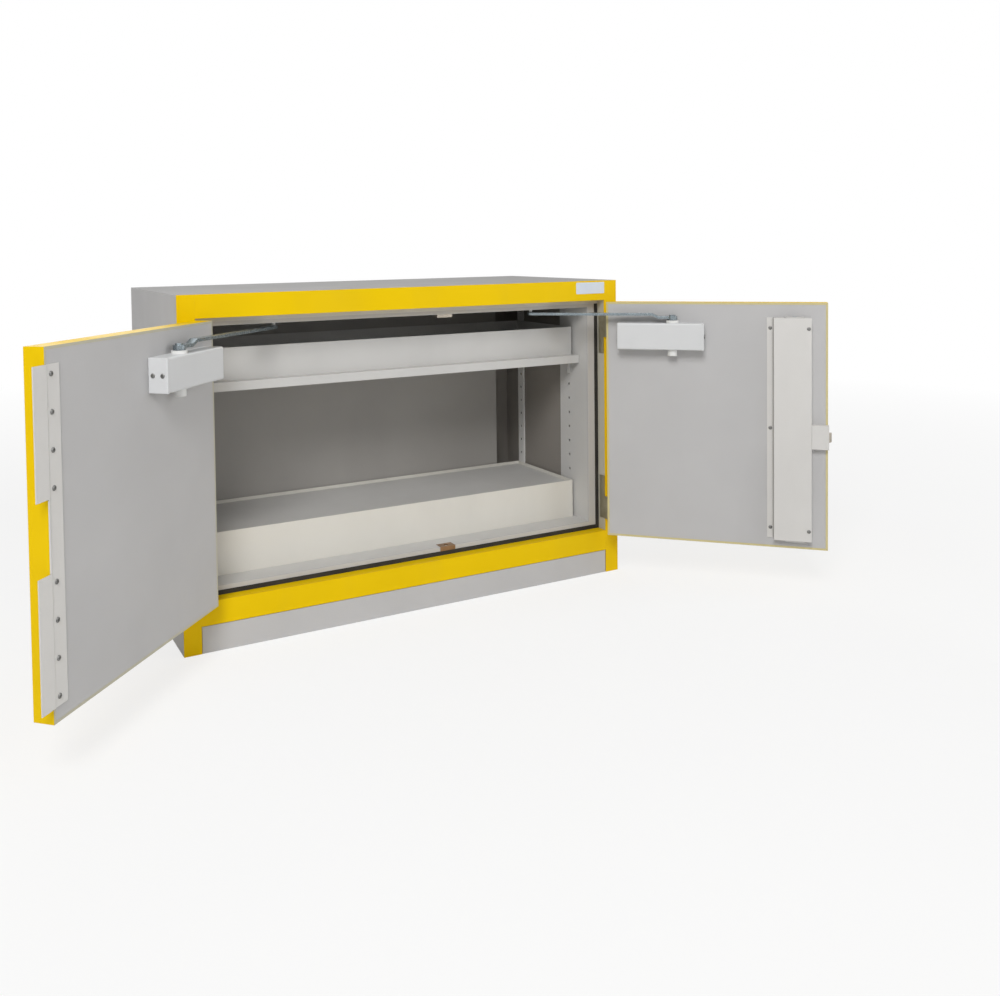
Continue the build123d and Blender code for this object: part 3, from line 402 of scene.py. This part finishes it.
@dataclass(frozen=True)
class PlatedSteel:
    """Plated or passivated steel with fine drawing marks, cloudy tint and stains."""

    name: str
    colour: Colour
    stain: Colour
    roughness: float = 0.3
    grain: Surface = Surface.EVERY_WAY
    marks_depth: float = 0.00002
    edge_radius: float = 0.0004
    clouds: Pattern = Pattern(55.0, 4.0, 0.35)
    stained: float = 0.75
    marks_scale: float = 12.0
    marks_detail: float = 5.0
    faint_mark: float = 0.3
    strong_mark: float = 0.75
    brightened: float = 0.35
    brighter: float = 28.0
    polished_mark: float = 0.25
    smoother: float = 0.09
    rougher: float = 0.14
    metal: float = 0.92

    def material(self) -> bpy.types.Material:
        """Builds the metal's material.

        Returns:
            The material.
        """
        recipe = Recipe(self.name)
        clouds = recipe.patches(self.clouds, 0.0, self.stained)
        colour = recipe.mixed(clouds, linear(self.colour), linear(self.stain))
        marks = recipe.noise(Pattern(self.marks_scale, self.marks_detail, stretch=self.grain.value))
        bright = recipe.spread(marks, self.faint_mark, self.strong_mark, 0.0, self.brightened)
        glint = tuple(min(FULL_PART, part + self.brighter) for part in self.colour)
        recipe.feed("Base Color", recipe.mixed(bright, colour, linear(glint)))
        recipe.feed("Metallic", self.metal)
        smooth, rough = self.roughness - self.smoother, self.roughness + self.rougher
        recipe.feed("Roughness", recipe.spread(marks, self.polished_mark, self.strong_mark, smooth, rough))
        recipe.feed("Normal", recipe.bump(marks, self.marks_depth, recipe.soft_edges(self.edge_radius)))
        return recipe.material


@dataclass(frozen=True)
class Moulded:
    """Moulded plastic or rubber: faint flow clouds, a fine grain and dust that dulls it."""

    name: str
    colour: Colour
    dust: Colour
    roughness: float = 0.5
    dustiness: float = 0.25
    edge_radius: float = 0.0006
    dusting: Pattern = Pattern(35.0, 5.0, 0.4, 0.75)
    full_dust: float = 0.3
    dulling: float = 0.2
    dullest: float = 0.95
    flow: Pattern = Pattern(16.0, 1.0, stretch=(1.0, 1.0, 3.0))
    flow_share: float = 0.12
    flow_shade: float = 0.8
    grain: Pattern = Pattern(900.0)
    grain_depth: float = 0.00005

    def material(self) -> bpy.types.Material:
        """Builds the plastic's or rubber's material.

        Returns:
            The material.
        """
        recipe = Recipe(self.name)
        dust = recipe.patches(self.dusting, 0.0, self.dustiness)
        colour = recipe.mixed(dust, linear(self.colour), linear(self.dust))
        shade = linear(tuple(part * self.flow_shade for part in self.colour))
        flow = recipe.patches(self.flow, 0.0, self.flow_share)
        recipe.feed("Base Color", recipe.mixed(flow, colour, shade))
        dull = min(self.dullest, self.roughness + self.dulling)
        recipe.feed("Roughness", recipe.spread(dust, 0.0, self.full_dust, self.roughness, dull))
        grain = recipe.noise(self.grain)
        recipe.feed("Normal", recipe.bump(grain, self.grain_depth, recipe.soft_edges(self.edge_radius)))
        return recipe.material


@dataclass(frozen=True)
class MineralBoard:
    """Pressed mineral insulation: chalky, fibrous and pitted."""

    name: str
    colour: Colour
    fibre: Colour
    strands: Pattern = Pattern(30.0, 6.0, 0.35, 0.7, (1.0, 1.0, 8.0))
    dry_strand: float = 0.3
    fibre_share: float = 0.8
    pit_scale: float = 300.0
    pit_core: float = 0.12
    pit_rim: float = 0.3
    pit_depth: float = 0.0004
    smoothest: float = 0.85
    roughest: float = 0.97
    edge_radius: float = 0.001

    def material(self) -> bpy.types.Material:
        """Builds the board's material.

        Returns:
            The material.
        """
        recipe = Recipe(self.name)
        strands = recipe.noise(self.strands)
        share = recipe.spread(strands, self.strands.low, self.strands.high, 0.0, self.fibre_share)
        recipe.feed("Base Color", recipe.mixed(share, linear(self.colour), linear(self.fibre)))
        rough = recipe.spread(strands, self.dry_strand, self.strands.high, self.smoothest, self.roughest)
        recipe.feed("Roughness", rough)
        pits = recipe.spread(recipe.cells(self.pit_scale), self.pit_core, self.pit_rim, 0.0, 1.0)
        recipe.feed("Normal", recipe.bump(pits, self.pit_depth, recipe.soft_edges(self.edge_radius)))
        return recipe.material


@dataclass(frozen=True)
class PrintedBlank:
    """Plain satin film with nothing printed on it, slightly yellowed and scuffed."""

    name: str
    colour: Colour
    aged: Colour
    ageing: Pattern = Pattern(40.0, 4.0, 0.35, 0.75)
    age_share: float = 0.4
    scuffs: Pattern = Pattern(60.0, 5.0, stretch=Surface.ALONG_X.value)
    scuff_depth: float = 0.00002
    smoothest: float = 0.28
    roughest: float = 0.45
    edge_radius: float = 0.0003

    def material(self) -> bpy.types.Material:
        """Builds the film's material.

        Returns:
            The material.
        """
        recipe = Recipe(self.name)
        ageing = recipe.patches(self.ageing, 0.0, self.age_share)
        recipe.feed("Base Color", recipe.mixed(ageing, linear(self.colour), linear(self.aged)))
        scuffs = recipe.noise(self.scuffs)
        rough = recipe.spread(scuffs, self.scuffs.low, self.scuffs.high, self.smoothest, self.roughest)
        recipe.feed("Roughness", rough)
        recipe.feed("Normal", recipe.bump(scuffs, self.scuff_depth, recipe.soft_edges(self.edge_radius)))
        return recipe.material


@dataclass(frozen=True)
class Finishes:
    """Every finish of the cabinet, by name."""

    grey_sheet: PowderCoat = PowderCoat(
        "grey_sheet", (189.0, 188.0, 188.0), (214.0, 213.0, 211.0), roughness=0.6, shine=0.2
    )
    # Painted shade: the same grey paint as the sides, made darker where it covers the top.
    shaded_top_sheet: PowderCoat = PowderCoat(
        "shaded_top_sheet", (182.0, 181.0, 180.0), (206.0, 205.0, 203.0), roughness=0.78, shine=0.04
    )
    yellow_sheet: PowderCoat = PowderCoat("yellow_sheet", YELLOW, YELLOW_WORN, clouding=0.03, shine=0.1)
    stile_sheet: FrontCoat = FrontCoat("stile_sheet", YELLOW, YELLOW_WORN, clouding=0.03, shine=0.1)
    left_skin: SkinCoat = SkinCoat(
        "left_skin", YELLOW, YELLOW_WORN, clouding=0.03, shine=0.1,
        lip_colour=(190.0, 186.0, 168.0), inward=(0.721, -0.693, 0.0),
    )
    right_skin: SkinCoat = SkinCoat(
        "right_skin", YELLOW, YELLOW_WORN, clouding=0.03, shine=0.1,
        lip_colour=(206.0, 194.0, 146.0), inward=(-0.699, -0.715, 0.0),
    )
    inner_lining: PowderCoat = PowderCoat(
        "inner_lining", (196.0, 195.0, 193.0), (222.0, 221.0, 218.0), roughness=0.5
    )
    # A darker board than the inner paint, deepened further as painted shade on the inner walls.
    shaded_liner_board: PowderCoat = PowderCoat(
        "shaded_liner_board", (140.0, 135.0, 129.0), (168.0, 163.0, 157.0), roughness=0.62, shine=0.2
    )
    # Painted shade: the duct's grey paint darkened for the shade inside the cabinet.
    shaded_duct_sheet: PowderCoat = PowderCoat(
        "shaded_duct_sheet", (164.0, 161.0, 157.0), (190.0, 187.0, 183.0), roughness=0.55, shine=0.3
    )
    # Painted light: a paler copy of the inner paint on the rear uprights and the ceiling, standing for light
    # that they catch.
    lit_upright_paint: PowderCoat = PowderCoat(
        "lit_upright_paint", (226.0, 225.0, 222.0), (238.0, 237.0, 234.0), roughness=0.45
    )
    tray_white: PowderCoat = PowderCoat(
        "tray_white", (216.0, 213.0, 205.0), (236.0, 234.0, 228.0), roughness=0.45
    )
    # The lock cover's paint takes painted shade in its inner corners.
    cover_paint: PowderCoat = PowderCoat(
        "cover_paint", (213.0, 211.0, 208.0), (232.0, 231.0, 228.0), roughness=0.5, shine=0.3, clouding=0.02,
        corner_shade=0.6,
    )
    closer_paint: PowderCoat = PowderCoat(
        "closer_paint", (212.0, 213.0, 214.0), (232.0, 232.0, 232.0), roughness=0.36, clouding=0.015, wear=0.2
    )
    zinc_steel: PlatedSteel = PlatedSteel(
        "zinc_steel", (186.0, 196.0, 200.0), (150.0, 164.0, 170.0), roughness=0.28
    )
    arm_steel: PlatedSteel = PlatedSteel(
        "arm_steel", (144.0, 154.0, 159.0), (124.0, 135.0, 141.0), roughness=0.24, marks_depth=0.000006
    )
    keeper_steel: PlatedSteel = PlatedSteel(
        "keeper_steel", (180.0, 172.0, 160.0), (146.0, 138.0, 126.0), roughness=0.4
    )
    screw_steel: PlatedSteel = PlatedSteel(
        "screw_steel", (136.0, 136.0, 134.0), (96.0, 96.0, 94.0), roughness=0.42, edge_radius=0.00015
    )
    dark_steel: PlatedSteel = PlatedSteel(
        "dark_steel", (174.0, 168.0, 144.0), (138.0, 132.0, 108.0), roughness=0.38, grain=Surface.ALONG_Z
    )
    copper_steel: PlatedSteel = PlatedSteel(
        "copper_steel", (150.0, 118.0, 88.0), (112.0, 84.0, 58.0), roughness=0.4
    )
    track_alloy: PlatedSteel = PlatedSteel(
        "track_alloy", (176.0, 178.0, 180.0), (150.0, 152.0, 154.0), roughness=0.42, grain=Surface.ALONG_X
    )
    seal_black: Moulded = Moulded("seal_black", (30.0, 29.0, 27.0), (96.0, 92.0, 84.0), roughness=0.75)
    seal_grey: Moulded = Moulded("seal_grey", (204.0, 203.0, 202.0), (220.0, 218.0, 214.0), roughness=0.8)
    white_plastic: Moulded = Moulded(
        "white_plastic", (232.0, 232.0, 230.0), (206.0, 204.0, 198.0), roughness=0.38
    )
    handle_black: Moulded = Moulded("handle_black", (34.0, 34.0, 35.0), (92.0, 90.0, 86.0), roughness=0.42)
    insulation: MineralBoard = MineralBoard("insulation", (214.0, 208.0, 196.0), (188.0, 178.0, 160.0))
    blank_film: PrintedBlank = PrintedBlank("blank_film", (206.0, 214.0, 226.0), (190.0, 200.0, 214.0))

    def made(self) -> dict[str, bpy.types.Material]:
        """Builds each material once, and gives them by the finish's name."""
        return {name: getattr(self, name).material() for name in self.__dataclass_fields__}


@dataclass
class Assembly:
    """A group of pieces that are dressed, and some of them built, together."""

    materials: dict[str, bpy.types.Material]
    pieces: list[str] = field(default_factory=list)

    def dress(self, slot: str, *nodes: str) -> None:
        """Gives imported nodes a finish.

        Args:
            slot: name of the finish.
            nodes: names of the nodes.
        """
        for name in nodes:
            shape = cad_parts[name]
            if not shape.material_slots:
                shape.data.materials.append(None)
            for place in shape.material_slots:
                place.material = self.materials[slot]
            self.pieces.append(name)

    def keep(
        self, mesh: bmesh.types.BMesh, name: str, finish: str, body: str, slot: str | None = None
    ) -> bpy.types.Object:
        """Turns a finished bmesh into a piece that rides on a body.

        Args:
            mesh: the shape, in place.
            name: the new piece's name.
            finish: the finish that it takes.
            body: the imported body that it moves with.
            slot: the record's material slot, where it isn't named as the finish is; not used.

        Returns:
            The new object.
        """
        data = bpy.data.meshes.new(name)
        mesh.to_mesh(data)
        mesh.free()
        piece = bpy.data.objects.new(name, data)
        bpy.context.scene.collection.objects.link(piece)
        data.materials.append(self.materials[finish])
        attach(piece, body)
        self.pieces.append(name)
        return piece

    def report(self) -> None:
        """Says which pieces are done."""
        for name in self.pieces:
            log.info("%s: %s", type(self).__name__, name)


class Carcass(Assembly):
    """Outer sheets, yellow front frame, rebate frame and seals."""

    def build(self) -> None:
        """Dresses the outside of the cabinet."""
        self.dress("grey_sheet", "side_panels", "back_panel", "base_pan", "plinth_panel", "rebate_frame")
        # The top panel takes the darker copy of the grey paint, as painted shade.
        self.dress("shaded_top_sheet", "top_panel")
        self.dress("stile_sheet", "stiles")
        self.dress("yellow_sheet", "top_rail", "bottom_rail")
        self.dress("seal_black", "door_seal")
        self.dress("seal_grey", "top_seal")
        self.dress("insulation", "insulation_boards")
        self.dress("zinc_steel", "duct_spigots")
        self.dress("keeper_steel", "top_keeper")
        self.dress("copper_steel", "bottom_keeper")
        self.dress("dark_steel", "hinge_frame_leaves", "hinge_pins")


class Interior(Assembly):
    """Linings, uprights, shelf, trays and platform."""

    def build(self) -> None:
        """Dresses the inside of the cabinet."""
        # Painted shade: the liners take a darker finish.
        self.dress("shaded_liner_board", "side_liners", "back_liner")
        # Painted shade: the duct takes a darker finish.
        self.dress("shaded_duct_sheet", "air_duct")
        # Painted light: the rear uprights and the ceiling take a paler copy of the inner paint.
        self.dress("lit_upright_paint", "rear_uprights")
        self.dress("lit_upright_paint", "ceiling_liner")
        self.dress("inner_lining", "floor_liner", "front_uprights", "shelf_clips")
        self.dress("inner_lining", "shelf", "shelf_tray", "bottle_platform")
        self.dress("tray_white", "sump_tray")


@dataclass
class LabelBlank(Assembly):
    """The plain label at the right end of the top rail."""

    left: float = 0.3475
    right: float = 0.4165
    bottom: float = 0.574
    top: float = 0.597
    thick: float = 0.0004
    corner: float = 0.0015
    corner_segments: int = 4

    def build(self) -> None:
        """Builds the blank on the rail's front face."""
        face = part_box("top_rail")[0].y
        mesh = bmesh.new()
        bmesh.ops.create_cube(mesh, size=1.0)
        size = Vector((self.right - self.left, self.thick, self.top - self.bottom))
        bmesh.ops.scale(mesh, vec=size, verts=mesh.verts)
        upright = [e for e in mesh.edges if abs(e.verts[0].co.y - e.verts[1].co.y) > self.thick / 2]
        bmesh.ops.bevel(
            mesh, geom=upright, offset=self.corner, affect="EDGES",
            segments=self.corner_segments, profile=0.5, material=-1,
        )
        middle = Vector(((self.left + self.right) / 2, face - self.thick / 2, (self.bottom + self.top) / 2))
        bmesh.ops.translate(mesh, vec=middle, verts=mesh.verts)
        self.keep(mesh, "label_blank", "blank_film", "cabinet", slot="white_plastic")


@dataclass
class HingePlates(Assembly):
    """Screwed plates that carry the four frame leaves of the hinges on along the stiles' returns."""

    inner: float = 0.415
    outer: float = 0.4165
    front: float = -0.1985
    back: float = -0.183
    spans: tuple[tuple[float, float], ...] = ((0.157, 0.199), (0.451, 0.485))
    corner: float = 0.002
    corner_segments: int = 4
    head_radius: float = 0.0032
    head_height: float = 0.0003
    head_inset: float = 0.01
    head_sides: int = 20

    def plate(self, low: float, high: float) -> bmesh.types.BMesh:
        """Shapes the right side's plate with rounded corners and its two flat screw heads.

        Args:
            low: height of its lower end.
            high: height of its upper end.

        Returns:
            The plate in place.
        """
        mesh = bmesh.new()
        bmesh.ops.create_cube(mesh, size=1.0)
        thick = self.outer - self.inner
        bmesh.ops.scale(mesh, vec=(thick, self.back - self.front, high - low), verts=mesh.verts)
        across = [e for e in mesh.edges if abs(e.verts[0].co.x - e.verts[1].co.x) > thick / 2]
        bmesh.ops.bevel(
            mesh, geom=across, offset=self.corner, affect="EDGES",
            segments=self.corner_segments, profile=0.5, material=-1,
        )
        middle = Vector(((self.inner + self.outer) / 2, (self.front + self.back) / 2, (low + high) / 2))
        bmesh.ops.translate(mesh, vec=middle, verts=mesh.verts)
        for height in (low + self.head_inset, high - self.head_inset):
            turn = Matrix.Rotation(QUARTER_TURN, 4, "Y")
            place = Matrix.Translation((self.inner, middle.y, height)) @ turn
            bmesh.ops.create_cone(
                mesh, cap_ends=True, segments=self.head_sides, radius1=self.head_radius,
                radius2=self.head_radius, depth=self.head_height * 2, matrix=place,
            )
        return mesh

    def build(self) -> None:
        """Builds the plates of both sides as one piece."""
        mesh = bmesh.new()
        for low, high in self.spans:
            right = self.plate(low, high)
            data = bpy.data.meshes.new("hinge_plate")
            right.to_mesh(data)
            right.free()
            mesh.from_mesh(data)
            data.transform(Matrix.Diagonal((-1.0, 1.0, 1.0, 1.0)))
            data.flip_normals()
            mesh.from_mesh(data)
            bpy.data.meshes.remove(data)
        bmesh.ops.recalc_face_normals(mesh, faces=mesh.faces)
        self.keep(mesh, "hinge_leaf_plates", "dark_steel", "cabinet")


@dataclass
class Screws(Assembly):
    """Domed cross-recess screws in place of a node of plain round heads."""

    node: str = "left_door_screws"
    body: str = "left_door"
    carrier: str = "left_door_core"
    segments: int = 20
    profile: tuple[tuple[float, float], ...] = (
        (0.0, 0.0), (1.0, 0.0), (1.0, 0.4), (0.94, 0.64), (0.8, 0.84), (0.55, 0.96), (0.0, 1.0)
    )
    recess_width: float = 0.26
    recess_length: float = 1.15
    recess_depth: float = 0.6
    source_merge: float = 0.000001
    head_merge: float = 0.0001
    place_digits: int = 4

    def heads(self) -> list[tuple[Vector, Vector, float, float]]:
        """Finds the plain heads.

        Returns:
            For each head the middle of its foot, its direction, its radius and its height.
        """
        mesh = bmesh.new()
        mesh.from_mesh(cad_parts[self.node].data)
        bmesh.ops.remove_doubles(mesh, verts=mesh.verts, dist=self.source_merge)
        left = set(mesh.verts)
        found = []
        while left:
            island, edge = set(), [left.pop()]
            while edge:
                vertex = edge.pop()
                island.add(vertex)
                near = {e.other_vert(vertex) for e in vertex.link_edges} & left
                left -= near
                edge.extend(near)
            found.append(self.measured(island))
        mesh.free()
        digits = self.place_digits
        return sorted(found, key=lambda head: (round(head[0].x, digits), round(head[0].z, digits)))

    def measured(self, island: set) -> tuple[Vector, Vector, float, float]:
        """Measures one plain head from its vertices.

        The direction is the one away from the carrier. A head that faces along the carrier, as on the
        closers' end caps, lies square to that test, so it can come out either way round.

        Args:
            island: the head's vertices.

        Returns:
            The middle of its foot, its direction, its radius and its height.
        """
        caps = [f for f in {f for v in island for f in v.link_faces} if f.calc_area() > 0]
        broad = max(caps, key=lambda f: f.calc_area())
        axis = broad.normal.normalized()
        middle = sum((v.co for v in island), Vector()) / len(island)
        reach = [(v.co - middle).dot(axis) for v in island]
        height = max(reach) - min(reach)
        radius = max(((v.co - middle) - axis * (v.co - middle).dot(axis)).length for v in island)
        inward = self.nearest_carrier(middle) - middle
        if axis.dot(inward) > 0:
            axis = -axis
        return middle - axis * height / 2, axis, radius, height

    def nearest_carrier(self, place: Vector) -> Vector:
        """The point of the piece that carries the screws which lies nearest to a place."""
        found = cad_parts[self.carrier].closest_point_on_mesh(place)
        return found[1]

    def build(self) -> None:
        """Builds every screw of the node as one piece."""
        head = self.master()
        mesh = bmesh.new()
        for foot, axis, radius, height in self.heads():
            turn = axis.to_track_quat("Z", "Y").to_matrix().to_4x4()
            copy = head.copy()
            copy.transform(Matrix.Translation(foot) @ turn @ Matrix.Diagonal((radius, radius, height, 1.0)))
            mesh.from_mesh(copy)
            bpy.data.meshes.remove(copy)
        bpy.data.meshes.remove(head)
        piece = self.keep(mesh, f"{self.node}_domed", "screw_steel", self.body, slot="zinc_steel")
        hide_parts(self.node)

    def master(self) -> bpy.types.Mesh:
        """Builds one head of radius 1 and height 1 with a cross recess.

        Returns:
            The head's mesh, standing on the origin along Z.
        """
        dome = bmesh.new()
        line = [dome.verts.new((reach, 0.0, high)) for reach, high in self.profile]
        edges = [dome.edges.new(pair) for pair in zip(line, line[1:])]
        bmesh.ops.spin(
            dome, geom=line + edges, axis=(0, 0, 1), cent=(0, 0, 0),
            angle=FULL_TURN, steps=self.segments, use_merge=True,
        )
        bmesh.ops.remove_doubles(dome, verts=dome.verts, dist=self.head_merge)
        bmesh.ops.recalc_face_normals(dome, faces=dome.faces)
        head = self.loose(dome, "screw_head")
        slot = (self.recess_width, self.recess_length)
        for number, (wide, deep) in enumerate((slot, slot[::-1])):
            bar = bmesh.new()
            bmesh.ops.create_cube(bar, size=1.0)
            bmesh.ops.scale(bar, vec=(wide, deep, self.recess_depth * 2), verts=bar.verts)
            bmesh.ops.translate(bar, vec=(0, 0, 1.0), verts=bar.verts)
            cutter = self.loose(bar, f"screw_bar_{number}")
            cut = head.modifiers.new(f"bar_{number}", "BOOLEAN")
            cut.operation = "DIFFERENCE"
            cut.solver = "EXACT"
            cut.object = cutter
        view = bpy.context.evaluated_depsgraph_get()
        made = bpy.data.meshes.new_from_object(head.evaluated_get(view))
        for shape in [head] + [cut.object for cut in head.modifiers]:
            bpy.data.objects.remove(shape)
        return made

    def loose(self, mesh: bmesh.types.BMesh, name: str) -> bpy.types.Object:
        """Turns a bmesh into an object that is only used while building.

        Args:
            mesh: the shape.
            name: the object's name.

        Returns:
            The object.
        """
        data = bpy.data.meshes.new(name)
        mesh.to_mesh(data)
        mesh.free()
        shape = bpy.data.objects.new(name, data)
        bpy.context.scene.collection.objects.link(shape)
        return shape


@dataclass
class Door(Assembly):
    """One door: skin, core, inner panel, hinge leaves and screws."""

    side: Side = Side.LEFT

    def build(self) -> None:
        """Dresses the door and builds its screws."""
        side = self.side.value
        self.dress(f"{side}_skin", f"{side}_door_skin")
        self.dress("grey_sheet", f"{side}_door_panel")
        self.dress("insulation", f"{side}_door_core")
        self.dress("dark_steel", f"{side}_hinge_door_leaves")
        screws = Screws(
            self.materials, node=f"{side}_door_screws", body=f"{side}_door", carrier=f"{side}_door_core"
        )
        screws.build()
        self.pieces.extend(screws.pieces)
        if self.side is Side.LEFT:
            self.dress("cover_paint", "astragal_plate")


@dataclass
class Closer(Assembly):
    """A door closer with its arm and slide."""

    side: Side = Side.LEFT

    def build(self) -> None:
        """Dresses the closer."""
        side = self.side.value
        self.dress("closer_paint", f"{side}_closer_body", f"{side}_closer_cap")
        self.dress("white_plastic", f"{side}_closer_bushes", f"{side}_closer_slider")
        self.dress("arm_steel", f"{side}_closer_arm")


class Lock(Assembly):
    """Lock cover, case, rods, latch, handle and cylinder of the right door, with the slide tracks."""

    def build(self) -> None:
        """Dresses the lock's pieces."""
        self.dress("cover_paint", "lock_cover", "lock_case")
        self.dress("zinc_steel", "top_lock_rod", "bottom_lock_rod", "lock_cylinder")
        self.dress("keeper_steel", "latch_bolt")
        self.dress("handle_black", "door_handle", "handle_plate")
        self.dress("track_alloy", "closer_tracks")


@dataclass(frozen=True)
class Lamp:
    """One soft square lamp."""

    name: str
    place: Place
    aim: Place
    width: float
    power: float

    def build(self) -> None:
        """Hangs the lamp and turns it to its aim."""
        data = bpy.data.lights.new(self.name, "AREA")
        data.shape = "SQUARE"
        data.size = self.width
        data.energy = self.power
        lamp = bpy.data.objects.new(self.name, data)
        bpy.context.scene.collection.objects.link(lamp)
        lamp.location = self.place
        lamp.rotation_euler = (Vector(self.aim) - Vector(self.place)).to_track_quat("-Z", "Y").to_euler()


@dataclass(frozen=True)
class Studio:
    """Camera at the photograph's viewing angle, soft lamps, white surroundings and a pale floor."""

    eye: Place = (-0.8011, -1.8035, 0.6744)
    right: Place = (0.88821298, -0.45923378, -0.01349184)
    down: Place = (-0.02853914, -0.02584086, -0.99925861)
    ahead: Place = (0.45854467, 0.88793952, -0.03605833)
    focal_pixels: float = 974.97
    middle_x: float = 433.90
    middle_y: float = 281.24
    sensor: float = 36.0
    floor_half: float = 8.0
    fade_start: float = 1.2
    fade_end: float = 3.5
    near_share: float = 0.74
    clouds: Pattern = Pattern(3.0, 3.0)
    dim_floor: Colour = (238.0, 238.0, 237.0)
    pale_floor: Colour = (243.0, 243.0, 242.0)
    floor_roughness: float = 0.9
    floor_shine: float = 0.1
    nearest: float = 0.05
    furthest: float = 50.0
    surround: float = 0.34
    lamps: tuple[Lamp, ...] = (
        Lamp("key_lamp", (-1.8, -2.7, 2.7), (0.0, 0.0, 0.3), 1.4, 84.0),
        Lamp("fill_lamp", (2.6, -2.2, 1.5), (0.0, -0.1, 0.3), 2.2, 29.0),
        Lamp("back_lamp", (0.4, 2.8, 2.0), (0.0, 0.2, 0.3), 2.4, 22.0),
    )

    def camera(self) -> None:
        """Sets the camera up as the photograph's."""
        data = bpy.data.cameras.new("camera")
        data.sensor_fit = "HORIZONTAL"
        data.sensor_width = self.sensor
        data.lens = self.focal_pixels * self.sensor / IMAGE_WIDTH
        data.shift_x = (IMAGE_WIDTH / 2 - self.middle_x) / IMAGE_WIDTH
        data.shift_y = (self.middle_y - IMAGE_HEIGHT / 2) / IMAGE_WIDTH
        data.clip_start = self.nearest
        data.clip_end = self.furthest
        turn = Matrix((self.right, tuple(-d for d in self.down), tuple(-a for a in self.ahead))).transposed()
        eye = bpy.data.objects.new("camera", data)
        bpy.context.scene.collection.objects.link(eye)
        eye.matrix_world = Matrix.Translation(self.eye) @ turn.to_4x4()
        bpy.context.scene.camera = eye

    def world(self) -> None:
        """Lights softly from all round, and shows white to the camera and in reflections."""
        world = bpy.data.worlds.new("surroundings")
        bpy.context.scene.world = world
        world.use_nodes = True
        tree = world.node_tree
        tree.nodes.clear()
        path = tree.nodes.new("ShaderNodeLightPath")
        seen = tree.nodes.new("ShaderNodeMath")
        seen.operation = "MAXIMUM"
        tree.links.new(path.outputs["Is Camera Ray"], seen.inputs[0])
        shiny = tree.nodes.new("ShaderNodeMath")
        shiny.operation = "MAXIMUM"
        tree.links.new(path.outputs["Is Glossy Ray"], shiny.inputs[0])
        tree.links.new(path.outputs["Is Transmission Ray"], shiny.inputs[1])
        tree.links.new(shiny.outputs[0], seen.inputs[1])
        strength = tree.nodes.new("ShaderNodeMapRange")
        tree.links.new(seen.outputs[0], strength.inputs["Value"])
        strength.inputs["To Min"].default_value = self.surround
        strength.inputs["To Max"].default_value = 1.0
        glow = tree.nodes.new("ShaderNodeBackground")
        glow.inputs["Color"].default_value = WHITE
        tree.links.new(strength.outputs["Result"], glow.inputs["Strength"])
        output = tree.nodes.new("ShaderNodeOutputWorld")
        tree.links.new(glow.outputs["Background"], output.inputs["Surface"])

    def floor(self) -> None:
        """Lays a pale floor that keeps the cabinet's shadow and fades to white further out."""
        mesh = bmesh.new()
        bmesh.ops.create_grid(mesh, x_segments=1, y_segments=1, size=self.floor_half)
        data = bpy.data.meshes.new("floor")
        mesh.to_mesh(data)
        mesh.free()
        floor = bpy.data.objects.new("floor", data)
        bpy.context.scene.collection.objects.link(floor)
        recipe = Recipe("floor")
        colour = recipe.mixed(recipe.noise(self.clouds), linear(self.dim_floor), linear(self.pale_floor))
        recipe.feed("Base Color", colour)
        recipe.feed("Roughness", self.floor_roughness)
        recipe.feed("Specular IOR Level", self.floor_shine)
        length = recipe.node("ShaderNodeVectorMath", {0: recipe.place}, operation="LENGTH").outputs["Value"]
        far = recipe.spread(length, self.fade_start, self.fade_end, self.near_share, 1.0)
        path = recipe.node("ShaderNodeLightPath", {})
        share = recipe.times(far, path.outputs["Is Camera Ray"])
        glow = recipe.node("ShaderNodeEmission", {"Color": WHITE, "Strength": 1.0})
        inputs = {0: share, 1: recipe.shader.outputs["BSDF"], 2: glow.outputs[0]}
        mix = recipe.node("ShaderNodeMixShader", inputs)
        output = next(n for n in recipe.tree.nodes if n.type == "OUTPUT_MATERIAL")
        recipe.tree.links.new(mix.outputs[0], output.inputs["Surface"])
        data.materials.append(recipe.material)

    def build(self) -> None:
        """Builds the whole studio."""
        scene = bpy.context.scene
        scene.view_settings.view_transform = "Standard"
        self.camera()
        self.world()
        self.floor()
        for lamp in self.lamps:
            lamp.build()


def main() -> None:
    """Builds the studio and every assembly in order, and reports each piece."""
    logging.basicConfig(level=logging.INFO, format="%(message)s")
    Studio().build()
    materials = Finishes().made()
    assemblies = [
        Carcass(materials),
        Interior(materials),
        LabelBlank(materials),
        HingePlates(materials),
        Door(materials, side=Side.LEFT),
        Door(materials, side=Side.RIGHT),
        Closer(materials, side=Side.LEFT),
        Closer(materials, side=Side.RIGHT),
        Lock(materials),
    ]
    for assembly in assemblies:
        assembly.build()
        assembly.report()
    bpy.context.view_layer.update()


if __name__ == "__main__":
    main()
